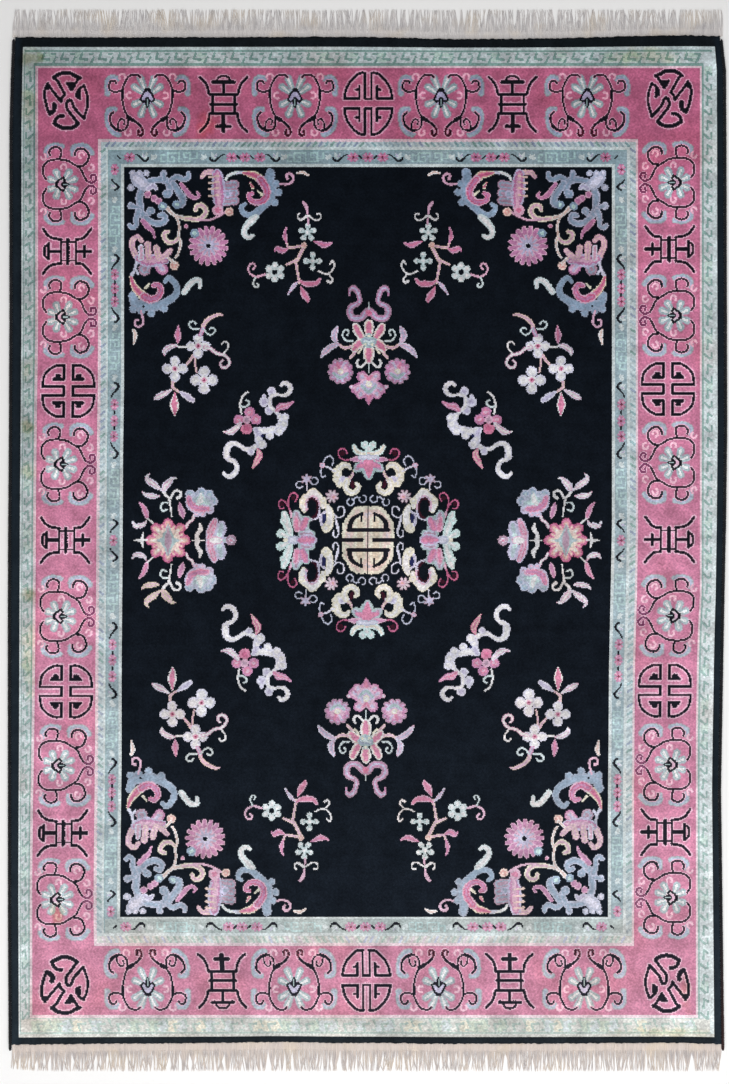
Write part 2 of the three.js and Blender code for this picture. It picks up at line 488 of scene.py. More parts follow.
@dataclass(frozen=True)
class OuterGuard:
    """The running key of the outer guard stripe."""

    period_across: float = 18.9
    period_along: float = 24.4
    line: float = 2.5
    light_line: float = 0.4
    seed: int = 21
    far_lights: tuple[Wool, ...] = (Wool.FOG, Wool.HAZE, Wool.FOG, Wool.FOG, Wool.PEARL)
    near_lights: tuple[Wool, ...] = (Wool.CHALK, Wool.WILLOW, Wool.BIRCH, Wool.FOG, Wool.CREAM)

    def draw(self, runs: Iterable[Run]) -> None:
        """Draws the key round the rug, in steps of the period and of the stripe's depth.

        Args:
            runs: the stripe's four sides.
        """
        random = np.random.default_rng(self.seed)
        for run in runs:
            lights, dark = self.far_lights, mixed("moss")
            if run.side is Side.BOTTOM:
                lights, dark = self.near_lights, mixed("reed")
            period = self.period_along if run.side.upright else self.period_across
            count = int(run.half / period - 0.4)
            for k in range(-count, count + 1):
                pen = run.pen.at(k * period, 0).scaled(period, run.depth)
                for start in (-0.5, 0.0):
                    light = (lights[random.integers(len(lights))],)
                    for y in (0.25, 0.7):
                        pen.bar(light, [run.depth * self.light_line], (start + 0.12, y), (start + 0.38, y))
                pen.bar(dark, [self.line], (-0.1, 0.14), (-0.2, 0.6), (0.16, 0.66))
                pen.bar(dark, [self.line], (0.32, 0.16), (0.62, 0.22), (0.36, 0.98))


@dataclass(frozen=True)
class HatchGuard:
    """The short slanting bars of the narrow guard stripe."""

    pitch_across: float = 5.9
    pitch_along: float = 7.5
    slant: float = 1.4
    width: float = 2.3
    inset: float = 0.8
    seed: int = 3
    far_wools: str = "slate/slate/teal/mist/moss"
    near_wools: str = "reed/pale/steel/ash/reed"

    def draw(self, runs: Iterable[Run]) -> None:
        """Draws the bars round the rug, leaning away from the middle of each side.

        Args:
            runs: the stripe's four sides.
        """
        random = np.random.default_rng(self.seed)
        for run in runs:
            bars = mixed(self.near_wools if run.side is Side.BOTTOM else self.far_wools)
            pitch = self.pitch_along if run.side.upright else self.pitch_across
            count = int(run.half / pitch)
            for k in range(-count, count + 1):
                lean = self.slant if k < 0 else -self.slant
                bar = (bars[random.integers(len(bars))],)
                run.pen.bar(bar, [self.width], (k * pitch + lean, self.inset),
                            (k * pitch - lean, run.depth - self.inset))


# A small pink flower of the scroll guard.
GUARD_FLOWER = Motif("""
once
bloom mauve/orchid/rose 2.4 2.6 0,0 1.5,4.8 8,22.5
bloom petal 1.6 0,0 3.6,4.6 4,45
spot wine 1.2 0,0
""")

# A black dash between two flowers.
GUARD_DOT = Motif("""
once
jet 1.9 -1.2,1.1 1.2,-1.1
""")

# A white bud with two petals.
GUARD_BUD = Motif("""
once
spot pearl/mint 2 -1.2,-0.6 1.2,0.8
pearl 1.5 -1.5,-2.4 0,1 2,-2.2
""")

# A pale key fret.
GUARD_KEY = Motif("""
once
bar dew 1.7 -7.6,0 -4.9,0 -4.9,4.3 -11.2,4.3 -11.2,-4.2 0,-4.2 0,4.3 11.2,4.3 11.2,-4.6 4.9,-4.6
 4.9,0.3 8,0.3 & -14.3,-2 -18,-2 -18,4.3 -14.3,4.3 & 17.8,-4.6 17.8,1.2 12.5,1.2
""")

# A black scroll, from its tail, with a white bud in its bowl.
GUARD_SCROLL = Motif("""
once
jet 1.4 1.6 2.2 2.7 2.3 1.9 0,-3 3,-1.8 6.2,1.2 9.4,3.6 12.4,2.8 13.8,0.2
pearl/mint 3.6 3.2 1.6 9.8,-0.2 11,-1.6 12.2,-4.2
pearl/lilac 3 1.6 9,-0.6 7.6,-3.4
""")


@dataclass(frozen=True)
class Stands:
    """What stands along half a side of the scroll guard, in knots from its middle.

    Fields:
        flowers, dots, buds, keys: their places.
        scrolls: where each scroll starts and ends.
    """

    flowers: tuple[float, ...]
    dots: tuple[float, ...]
    buds: tuple[float, ...]
    keys: tuple[float, ...]
    scrolls: tuple[Point, ...]


@dataclass(frozen=True)
class ScrollGuard:
    """Pink flowers, black scrolls, white buds and pale keys on the grey-green stripe."""

    across: Stands = Stands(
        flowers=(0, 14.8, 107.7, 122.7, 136, 237.9),
        dots=(7.3, 115.6, 129.4, 248.6),
        buds=(39.5, 83.6, 163.8, 213.8),
        keys=(62, 188.4),
        scrolls=((20, 35), (101.5, 88), (143, 158), (231.6, 219)),
    )
    along: Stands = Stands(
        flowers=(0, 104, 119.5, 136, 239, 252, 266, 371),
        dots=(112.5, 128, 245.5, 258),
        buds=(24.5, 75.5, 163, 213, 291, 340.5),
        keys=(52.5, 189, 315.5),
        scrolls=((8, 20.5), (98, 82), (143.5, 158), (233, 218), (271, 286), (361, 350.5)),
    )
    middle: float = 0.47
    flower_across: float = 0.82
    flower_along: float = 0.66
    scroll_length: float = 14.0

    def draw(self, runs: Iterable[Run]) -> None:
        """Draws everything that stands on the stripe.

        Args:
            runs: the stripe's four sides.
        """
        for run in runs:
            stands, flat, tilt = self.across, self.flower_across, 1
            if run.side.upright:
                stands, flat, tilt = self.along, self.flower_along, 0
            for sign in (1, -1):
                half = run.pen.at(0, run.depth * self.middle).scaled(sign, 1)
                for motif, places, x, y in ((GUARD_FLOWER, stands.flowers, 1, flat),
                                            (GUARD_DOT, stands.dots, 1, tilt),
                                            (GUARD_BUD, stands.buds, 1, 1),
                                            (GUARD_KEY, stands.keys, sign, 1)):
                    for place in places:
                        motif.draw(half.at(place, 0).scaled(x, y))
                for start, end in stands.scrolls:
                    GUARD_SCROLL.draw(half.at(start, 0).scaled((end - start) / self.scroll_length, 1))


# The long shou character of the end borders, with its foot towards the field.
WIDE_SHOU = Motif("""
both shell 1.25
jet 2.8 -23.6,-26.6 -18.8,-21.6 -16,-16.3 -14.6,-10.4 -12,-9.3 0.5,-9.3
bar 3.6 -10.4,-21.6 0.5,-21.6
2.2 -6.6,-23.4 -4.4,-26.6 0.5,-27.8
bar 3 0,-20 0,-9.6
bar 2.8 -11.2,-9.3 -11.2,9.6 & -13,0.5 0.5,0.5 & -14,10 0.5,10
2.8 -14.2,10.4 -15,16.6 -18.4,23 -23.4,27.6
bar 3.2 0.5,10.4 0.5,27.4
bar 3.8 -6.4,22.7 0.5,22.7
""")

# The same character on the narrower side borders.
NARROW_SHOU = Motif("""
both shell 1.25
jet 2.8 -22.4,-29 -17,-24.4 -13.5,-18.5 -11.8,-8
bar 2 -12.5,-8 0.5,-8
bar 3.4 -7.4,-22.6 0.5,-22.6
2.4 -7.2,-23 -4.6,-27 0.5,-27.6
bar 2.4 0.6,-22 0.6,-8
bar 1.7 -9.2,-8 -9.2,8.9
bar 3.8 -11.6,-0.5 0.5,-0.5
bar 2 -12.5,8.9 0.5,8.9
2.8 -12.2,9.4 -12.8,16.4 -16.4,21.4 -22.6,26.8
bar 2.4 0.6,9 0.6,26.8
bar 2.8 -5.4,19 0.5,19
""")

# The round shou of the end borders.
WIDE_ROUND_SHOU = Motif("""
four shell 1.25
jet 2.8 -24,-5.6 -22,-14.6 -17.6,-22.3 -11.5,-28.6 -7,-30.6 -3,-30.6
bar 2.6 -3.3,-30.6 -3.3,-4.8 0,-4.8 & -24,-5 -8.8,-5 -8.8,-17.4 & -8.8,-14 -12.2,-13.8
""")

# The round shou of the side borders, turned.
NARROW_ROUND_SHOU = Motif("""
four shell 1.25
jet 2.6 -6.4,-30 -15.5,-27.8 -21.5,-22 -25.4,-13.8 -25.6,-5.4
bar 2.7 -25.6,-5.1 -11.6,-5.1 -11.6,-17.2
bar 3.4 -12.8,-15.4 -12.8,-9.6 & -15.4,-13.2 -15.4,-10.4
bar 2.7 -4.4,-30 -4.4,-5.1 0,-5.1
""")

# The roundel in each corner of the border, cut by crossing channels.
CORNER_ROUNDEL = Motif("""
once shell 1.25
jet 3.9 -13,-22.8 -10,-25 -6,-27 -1,-27.6 4,-27 8.4,-24.4 13,-22.4
bar 2.9 -12.6,-23 -9,-19 -6,-13 -2,-6 -5,-3 -6,1.5 -10,-4 -14,-9 -19,-16 & 12,-22 8.6,-17.6 7,-14
 4.5,-10.4 0,-17.4 6,-16.6
bar 3.6 1.6,-15.8 5.4,-15 4,-12.6
3 -19,-16.6 -21.6,-12 -22.4,-5 -21,3 -19,10 -17.4,13.6
4.8 -17.2,13 -14,11 -12.6,8 -12.8,4.2 & -19.6,-14 -19,-13
bar 3 17,-14.6 13.6,-12.6 10,-8 9.8,-4 13,-2
bar 4.2 12,-9 12,-4
2.7 17,-14.4 19.4,-8 20.6,-2 20.6,5 19,11 17,17.6
3.1 17,18 12,13 7,7 5,1.6 3,-0.4 0.6,1 -0.4,5.4 1,10 5,15 11,23
4 11,23 7,26.4 2,27.8 -3,27.8 -8,26 -12.6,23
3.6 -12.6,23 -10.6,18 -7,15.6 -4,15.4
""")

# The clouds, petals and black scroll of the end borders' scroll flower.
WIDE_SCROLL = Motif("""
both dusk 0.9
slate/heather 5.6 5.2 4.4 5.4 30.4,-18.2 36.4,-19 40.2,-13.8 40,-3.6
5.2 4.8 4.6 5.4 6 33,12.4 38.6,13.8 40,22 37.8,30.8 32.8,35.8 28.8,37
both
bar dusk 6.4 8.4 3,-9 6.8,-18.4 & 6,-5 12.8,-10 & 6,4 12.8,7.4 & 3,9 6.4,17.6
bar slate/sage/mint 4.8 6.8 3,-9 6.8,-18.4 & 6,-5 12.8,-10 & 6,4 12.8,7.4 & 3,9 6.4,17.6
bar milk 1.4 2.8 3,-9 6.8,-18.4 & 6,-5 12.8,-10 & 6,4 12.8,7.4 & 3,9 6.4,17.6
both shell 0.8
jet 2 7.4,-20 10.6,-22.2 15.6,-21.8 19.2,-19.6 23,-13 25,-7 25,0.8 24.6,5 22.4,14 19,20.4
2.9 25,-7 24.8,1
4.2 19,20.6 14.4,23.2
2.6 14.4,23.2 9,27 5.4,31.4 4.4,35.6 6.2,38.6 9,37.6 8.8,33.6
2 25,-6.6 32,-5 37.4,-7.4 38,-12 36.2,-15.8 32.6,-16 31,-13.6 & 19.6,21 19.6,28 22.4,32.6 27,33.8
3 27,33.8 31.6,32 35.4,28.6
2.2 35.4,28.6 37.2,23.6 37,18.6 34,15.4
1.7 29.6,31.4 28.8,25.6 25.8,22 22.8,24 23.4,27.6
""")

# Its pink curls and the dark tips of its tails.
WIDE_CURLS = Motif("""
both
curl shell/rosy 2.5 25.2,-20 3,1 150,250 & 17.8,-1.4 3,1 -110,230 & 19.4,35.6 3,1 -30,250
wine/sloe 2 5.4,31.4 4.4,35.6 6.2,38.6 9,37.6 8.8,33.6
""")

# The clouds, petals and black scroll of the side borders' scroll flower.
NARROW_SCROLL = Motif("""
both dusk 0.9
slate/heather 4.2 4.4 4.2 4.6 29,-17.4 35.2,-17 39,-9 37.8,1
4 4.2 4.2 4.8 5 30,13 36.4,13.6 38.8,21 37.4,29.4 31.6,35.4
both
bar dusk 6.4 8.4 3,-7 5,-13 & 6,-3.6 12,-6 & 6,5 12.2,9 & 3,9 5,15.4
bar slate/sage/mint 4.8 6.8 3,-7 5,-13 & 6,-3.6 12,-6 & 6,5 12.2,9 & 3,9 5,15.4
bar milk 1.4 2.8 3,-7 5,-13 & 6,-3.6 12,-6 & 6,5 12.2,9 & 3,9 5,15.4
both shell 0.8
jet 2 5,-18 10,-21.2 17,-21.2 22,-17.4 24.4,-10.4 24.6,0 23,8.4 20,14 17,20 14,23.3 8,26.4 3,30.4
 1.6,36 5,40.4 9,39 9,34.8 5.6,35 & 25,-2.2 31,0 35,-1 37,-6 36,-11 32,-14.4 29,-13.4
2.2 18,19.8 18.4,24.6 21,29 26,31.6 31,31 34.6,26.8 35.6,21 33,16.8 29,15.8
""")

# Its pink curls and the dark tips of its tails.
NARROW_CURLS = Motif("""
both
curl shell/rosy 2.5 27.6,-21 3,1 30,230 & 17,2.6 3,1 -120,240 & 29,23.4 3,1 200,250 & 16.6,34.6 3,1
 0,260
berry 2 3,30.4 1.6,36 5,40.4 9,39 9,34.8 5.6,35
""")

# The pale bud with its black outline in the middle of the scroll flower.
WIDE_BUD = Motif("""
once
lilac 4 10 12 9 0,-6.4 0,-3 0,1 0,4
both
bar jet 2.1 0,-7.4 3.6,-4.4 5.4,-0.8 7,2.8 4.4,4.8 2.2,4 0.8,8 0,10.4
once
bar 3 3.6 -1.6,-7 1.6,-7
1.6 6.4 2.4 0,0.4 0,4 0,9
bar sage 1.2 0,2.4 0,9
""")

# The same bud on the side borders, lower and paler.
NARROW_BUD = Motif(WIDE_BUD.text.replace("lilac", "pale/petal"), 0.8)


@dataclass(frozen=True)
class BorderSide:
    """Where the motifs of one side stand, in knots from the middle of the side.

    Fields:
        scrolls, shou, rounds: their places along the side.
        depths: how deep the middles of these three lie.
    """

    scrolls: tuple[float, ...]
    shou: tuple[float, ...]
    rounds: tuple[float, ...]
    depths: tuple[float, float, float]


@dataclass(frozen=True)
class PinkBorder:
    """The characters, roundels and scroll flowers of the pink border.

    Fields:
        full_depth: the border's depth where its motifs keep their full height.
        sides: where the motifs of each side stand.
        corners: each corner roundel's middle, from the border's own corner.
        wide, narrow: the motifs of the end borders and of the side borders.
    """

    full_depth: float = 71.0
    sides: tuple[tuple[Side, BorderSide], ...] = (
        (Side.LEFT, BorderSide((-356.3, -223.5, -76.3, 75.9, 225.1, 359.1), (-289.1, -0.3, 292.7),
                               (-149.5, 151), (27.8, 35.5, 36.5))),
        (Side.TOP, BorderSide((-220.2, -72.8, 72.9, 219.4), (-144.1, 144.2), (0.4,),
                              (28.9, 35.7, 35.6))),
        (Side.RIGHT, BorderSide((-358, -225, -77.8, 75.3, 224.2, 357.1), (-291.4, -0.9, 291.6),
                                (-151.5, 150.1), (27.8, 35.6, 36.5))),
        (Side.BOTTOM, BorderSide((-219.1, -72.6, 72.6, 220.0), (-144, 144.2), (0.0,),
                                 (27.9, 34.7, 35.6))),
    )
    corners: tuple[tuple[Side, Side, Point], ...] = (
        (Side.LEFT, Side.TOP, (29.4, 32.4)),
        (Side.RIGHT, Side.TOP, (31.0, 30.3)),
        (Side.LEFT, Side.BOTTOM, (31.0, 30.0)),
        (Side.RIGHT, Side.BOTTOM, (29.4, 31.8)),
    )
    wide: tuple[tuple[Motif, ...], ...] = (
        (WIDE_SCROLL, WIDE_BUD, WIDE_CURLS), (WIDE_SHOU,), (WIDE_ROUND_SHOU,))
    narrow: tuple[tuple[Motif, ...], ...] = (
        (NARROW_SCROLL, NARROW_BUD, NARROW_CURLS), (NARROW_SHOU,), (NARROW_ROUND_SHOU,))

    def draw(self, runs: Iterable[Run]) -> None:
        """Draws the whole border.

        Args:
            runs: the stripe's four sides.
        """
        runs = {run.side: run for run in runs}
        for side, own in self.sides:
            pen = runs[side].pen.scaled(1, runs[side].depth / self.full_depth)
            kinds = self.narrow if side.upright else self.wide
            for kind, places, depth in zip(kinds, (own.scrolls, own.shou, own.rounds), own.depths):
                for place in places:
                    for motif in kind:
                        motif.draw(pen.at(place, depth))
        for side, end, middle in self.corners:
            pen = runs[side].pen
            place = (pen.place[0], runs[end].pen.place[1])
            pen = Pen(pen.chart, place).scaled(-side.sign, -end.sign)
            CORNER_ROUNDEL.draw(pen.at(*middle))


# The stems, acanthus, pink leaves, aster and blue leaves that fill a field corner, from
# the corner itself.
CORNER_SPRAY = Motif("""
once
milk/peach 5 3.6 4 4.6 43,41 48.7,46.6 54.2,49.6 63.2,51.5
cream/peach/petal 5 5.6 5.4 4.4 62,51.4 73.4,52.1 79.8,48.9 82.1,43.2 78.6,38.6 73.4,38.9 71.6,43
petal 2.2 73.4,53.4 85,52.8 94,49.6 101,45.4
milk/peach 3 2.8 3 2.4 50.3,47 54.2,53.4 55.5,61.1 54.8,68.8 56.8,76.5 54.2,86.7 51.6,90.6
cream/peach/petal 3.4 5.2 5.4 4.4 54.2,71.4 50.3,74.8 45.2,75.2 40.9,71.4 40.5,66.4 44.4,64.6
spot petal/rose 2.2 62.4,59.2
ash/mist/sky 5 8 7 20,15 32,13 41,13 45.5,17 46.3,24
curl 4.5 43,26.5 3.6,0.4 -40,300
spot 3.6 39.7,6.6
5 4.5 39.7,7 41,13
6 6 5 47,14 52.6,10 60,12.5 64.5,10 64.4,6.6
6 8 6 49,16 53.5,23 58,29.5 59,36 54,38.5
spot sky/key 4.2 52.8,37.6
ash/mist/sky 7 8 7 8 19,20 15.8,29.4 16.5,37.5 17.5,45 22,51
spot 3.8 7.2,38.8
5 5 8,39 15,41
7 5 5 15,44 12.4,52 12.5,58 8.7,61 6,58.5
curl 4 27.5,44.3 3.4,0.4 120,300
6 7 6 5 22,51 28.3,55.3 35.4,56.8 41.6,53 40,47.6 35.6,48.6
ash/lavender 10 14 12 11.5,11 15.4,14 20,18
spot 3.2 8.8,6 22.8,6.2 15.6,6.4
spot 3.6 7.2,20.7 26,20
lavender/lilac 5 6 4 24,22 29,19 32.4,21.5
spot petal/orchid/orchid 3.6 23.8,27.6 30.4,31.4 34.6,34
4 5.5 3.5 2.4 57.3,17 61.2,22.3 66,28.4 71.4,31 75.4,28.6 73.4,25.5
5 6 4 2 19,54 24.4,60 29.1,64.8 31,70.9
spot sky/key 4.2 38.8,39.3
petal/peach/petal 4 5 6 78,10 82,5.6 89,5.4
mauve/mist/mauve 8 9.6 101,19 110.6,17.5 & 101,27.5 110.6,26 & 101,35 110.6,33.5
spot lilac/mist 4 104,27
lilac/orchid/petal 10 14 14 9 93.4,7 94.4,18 95,29 95.6,38
peach 2.4 1.4 85.6,10 95,9 & 85.6,16 95,15 & 85.6,22 95,21 & 85.6,29 95,28
spot petal/rose 5.6 94,43.2
spot peach/coral/peach 4.2 105.5,44.8
mint/milk 2.6 3.2 2.2 102,12.5 104,9 109.7,6.2 116.8,5.2 121,5.4
petal/peach/petal 4.6 5.4 6 7 17.7,73.9 14.2,69.8 9.3,72.6 8,77.8 10.6,85.5 14.4,91.9
mauve/mist/mauve 8 12 24,95 20.8,102.6
orchid/petal/lilac 8 11 32,95 38.8,102.4
lilac/orchid/petal 9 13 12 6 15,92 24,94 34,93 42.5,94
lavender/petal 5 6 17.3,80 17.5,91
petal/peach/petal 7 6 24,77.5 25,91 & 32.5,81 35,91
5 6 5 35,92 42,88 46.5,83.4
spot peach/coral/peach 4.4 50.6,98.6
milk/peach 3 50.5,96 45,91
ash/lavender 3 3 4 13,95 10.4,104 7.9,108
2.6 12,103 14.5,106.8
once 84.8,78.8
spot mauve 16.4 0,0
bloom petal/orchid/orchid 3 6 4.4 0,0 9,18 17,8
bloom petal/lilac 4 4.4 0,0 4,9.6 11,20
spot lilac/lavender 5.6 0.5,-0.5
spot night 2.3 -0.2,0
once
spot sky/key 4.5 70.9,66.2
mist/sky/sky 9 10 9 9 8 7 6 6 5 4 146.3,5.6 145.7,12.5 147.8,21 147.4,29 143.6,35 137.9,40.7
 130.9,46.4 123.8,47.8 118.9,45 117.5,40 121,37.2
spot 3.8 152,16.7 154.8,25.2 150.8,35.6
ash/lavender 2 3.6 3 113,6.6 118,5.4 122.4,6.2
cream/coral/rose/crimson 3 6 8 8.6 119.6,5.8 125,6.9 131,8.2 136.4,12.4
petal/crimson/orchid 8.6 7.6 6.8 5.6 4.6 136.6,12.6 141.6,19.6 143.2,25.2 141.8,30.8 137.6,34.4
 131.6,35.4 126.4,32.6 124.9,28 128.4,26.6
cream/coral/rose/crimson 1.4 3.6 126,15.6 128.6,20
bar cream 1.4 3 133.6,24 138,27.6
mint/milk 5 8 7 6 5 4 132.6,49.6 129.4,52 125.2,56.2 121,61.9 120.6,67.5 125.2,70.6 129.1,68.6
petal 2 3 156.3,16.7 161.9,17.5 167.5,15.3 169.4,10.4 166.1,6.8 162.8,8.2 163.4,11.6
milk/peach 2 3.6 2 173.2,6.2 178.8,5.5 184.5,8.3
mist/sky/sky 9 10 9 8 7 6 4.5 9,129 12,137 20,138.5 28,140 36,138 44,134 51,129 53.4,122 50,114.6
 45,111 41.4,114.4
spot 4 9.6,142 27.6,146.2 40.2,141.6 17.4,143.4
cream/coral/rose/crimson 3 6 8 9 7.2,110 9.4,117 13.8,123.6 20.4,129.6
petal/crimson/orchid 9 8 7 6 5 20.4,129.6 27.4,132.4 34,129.6 37.2,123 34,117.8 29.6,118.4
bar cream 3 1.6 22,121 26,116.4
spot night 1.2 19.7,139.3
mint/milk 6 6.4 6 5 4 60.4,125 64.6,119 70,113.8 76,113.6 76,120
petal 2.2 17,143.7 18.8,150 19.3,156.2 15.3,159.8 11.4,158 11.4,153.5 14.4,153
milk/peach 3 4.6 2 10,163 11.6,168 9.9,176.8
""")

# The sprig of three mint flowers.
MINT_SPRIG = Motif("""
once
peach/petal 3.6 3.4 3 2.6 2 -3.4,-4 -6.7,2.6 -9.4,8 -11.2,11 -10,20 -8.7,26.7 -8,32
4 3 2.2 -10,9 -14.6,11 -20.6,13.6
petal/rose/rose 1.6 5 7 5 3 -7.6,29.6 -3,32.6 3,33 9,32.4 12.4,28.4
lavender/petal/lilac 1.6 4.6 3 2 -9.6,31 -13.4,35 -16.4,39 -19,42.8
petal/rose/rose 1.4 5 7.4 5 2 -6.4,36 -4.8,40 -2.4,44.4 0.2,48 0.6,51
bloom mint/milk 5 6.6 -32.4,21.2 5,7 6,30
spot 4.8 -32.4,21.2
spot night 2.7 -32.6,21.2
petal 2.4 2 2 -42.6,23.6 -51,25.8 -57,22.7 -58.8,18 -57,13.4 -53.2,12.8 -52.4,16 -54.2,18
mint 1.6 -52,27 -54,32.4 -51.6,36.4 -48.8,35 -50,32.4
once 5.3,10.2
bloom mint/milk 5 5.6 0,0 5.6,6.6 4,-90
bloom sage/mint 3 3 0,0 1,5 4,-90
spot mint/milk 2.6 0,0
once
milk 1.8 1.6 11.3,20.3 16,22.5 21.4,22.5 25.4,18.7 27,14 25.2,10.2 22.8,13
1.4 1.8 2.6 22,24 25,28 23.8,31.6 20.4,30.4
peach/petal 3 2.2 -4,-5.4 -13.4,-3.6 -18.8,-3.6 -20.8,-8
petal/orchid/rose 2 5 6.6 4 1.6 -19.6,-2.6 -23.6,-0.2 -27,-1 -30,-2.8 -32.6,0
2 4.6 3 1.4 -20.8,-8.6 -22.4,-14 -22.2,-19 -20.8,-23.4
1.4 4 6.6 4 1.6 6.4,-9.6 11,-8 16,-6 20.4,-6.4 24.4,-8
once 0.2,-18.4
bloom mint/milk 5 5.6 0,0 5.6,6.6 5,-90
bloom sage/mint 3 3 0,0 1,5 5,-90
spot mint/milk 2.6 0,0
once
spot peach/coral/peach 3 -3.2,-5.8
petal 2 1.4 2 3.6 3 1.2,-27 0.6,-33.6 0,-40 -1.2,-44.6 -4,-48.6
milk 2.8 1.8 1.6 -0.6,-34.8 -5.4,-31.4 -9,-32.2 -9.4,-35.6 -7.6,-37.6
1.6 2,-34.8 6.7,-31.2 11.3,-30.8 13.6,-33.6 12.6,-37 9.6,-37
""")

# The sprig of three white plum flowers with rose hearts.
PLUM_SPRIG = Motif("""
once
peach/petal 2.6 3.4 3.4,-1.4 6.6,-5 10.5,-10.8
2 11.6,-10 12,-2 13.6,6.6
3.4 2.6 2.4 -9.6,14 -10.7,20.4 -7.4,23.6 -4.4,25.6
milk/rose/rose 1.6 5 9 7 1.6 -8.2,27 -8.4,32.2 -8.6,38 -8.2,43 -8,49
lavender/petal/milk 1.6 4.6 6.6 6 2.4 -11.6,23.6 -16,26.4 -20.6,28.8 -24.6,31 -28,32.8
lavender/lilac 1.4 5 7 5 -3.6,25.6 0.6,28.4 5,31 9.8,34.4
ring lavender/milk/milk 5.6 21,14.2 8.4,4
spot milk/petal 4.6 21,14.2
spot petal/rose/wine 2.7 21,14.2
ring lavender/milk/milk 5 -8.2,2.8 7.8,4
spot milk/petal 4.6 -8.2,2.8
spot petal/rose/wine 2.7 -8.2,2.8
ring lavender/milk/milk 4.9 15,-19.8 7.4,4
spot milk/petal 4.6 15,-19.8
spot petal/rose/wine 2.7 15,-19.8
petal/milk 3.8 3 3 2.4 22,-18.6 28,-16.8 33.5,-12.6 40.8,-10.8 45.4,-6.4 46,-1.7 42.6,1.8 38.6,1
 37.2,-2.6 39.4,-5.4
milk 1.6 40.8,-12.6 44.4,-17.4 45,-22 41.4,-24.3 38.6,-21.8
2 5,-19 -4.7,-19.3
lavender/petal/milk 2 5 6 5 1.6 -5.6,-20.2 -10,-20 -14,-18.4 -18.4,-14.8 -18.6,-10.6
petal/orchid/rose 1.6 5 7 4 1.2 -5.3,-23 -5.2,-27 -5.4,-31 -5,-35.4 -4.7,-40
orchid/petal/lilac 4 4.4 3.4 17,-30.6 19,-35 20.2,-40
mint 2.2 1.8 15.6,-37.2 10,-37 6.4,-40 7,-43.6 10.6,-44.4 12.8,-42
1.8 20.8,-36.8 23.8,-32.6 28,-31.2 31.3,-33.8 31.5,-36.8 29,-38.4 26.8,-37
peach/petal 4 4.4 3.4 1.6 20,-40.4 23.8,-45.6 29.8,-49.3 35.8,-51.4 39.6,-50.6
""")

# The white double scroll with its pink petals, on the field's slant.
SCROLL_GROUP = Motif("""
once
lavender/milk/milk 3.4 4.6 5 4 2.6 26,-45.6 29,-48 33.6,-46 35.2,-41.6 33,-37.4 29,-35.6 23.6,-36
spot lavender/lilac 4.4 16.4,-39.8 14,-20.4
spot 5 9,-29
spot 2 9,-34.6
lavender/milk/milk 3.6 4 3.4 22,-36.6 16,-34.4 14.8,-27 17,-22.5 21.4,-18.8 24.6,-14
6 10 10 6 24.6,-15 28,-11.4 27.4,-6 23.4,-1.6 17.7,-1.6
spot 4.2 29.8,-13.6 28.8,-6.6 24,0.4 15,4.6
6 7 5 18,-2 10.3,0 2,-1.4
lavender/lilac 5 7 6 0.7,-1.8 3.4,4 3,9.6
lavender/milk/milk 6 7 5 4,7.6 6,12.6 0,16
spot 4.8 7.2,13.6
spot navy 1.4 7.6,4.8
lavender/milk/milk 5 4.4 4 5 7 7 1,15.6 -4,18 -9.6,18.2 -14.8,14.6 -20.7,12.4 -25.6,14.6 -27.8,19.8
 -27.8,25.6
spot lavender/lilac 3.6 -3.8,21
lavender/milk/milk 5 4 5 5.4 5 3 -25.4,28.6 -20.4,30.6 -17.6,35.2 -18.2,40.4 -22.2,44.6 -27.2,45.4
 -30.8,42
spot orchid/rose/petal 5.2 -5.4,-18.8 -16,-11 1,-11.4
spot rose/crimson 5.6 -8.2,-2.4
spot petal/mauve 4.2 -8.2,-11.4
spot night 1.3 -11.5,-7.2
lavender/petal/milk 4 5.6 7 4 1.6 -14.6,-7 -18,-3.4 -22.6,0.4 -27,1.4 -31.4,0.6
milk 2 -13.3,-17.3 -14.8,-24.7 -14.1,-29.9 -11.9,-35.1 -7.4,-38.8
mint 2 -14.1,-24.7 -10.4,-24 -6.7,-26.2 -6.3,-29.4 -8.6,-30.8
orchid/petal/rose 4 7.4 6 2 21.8,-20.6 26,-24.4 31,-25 37.7,-29
rose/peach/rose 3 6.6 6 2 3.3,18.6 5,24.6 2.2,30 -1.6,37
""")

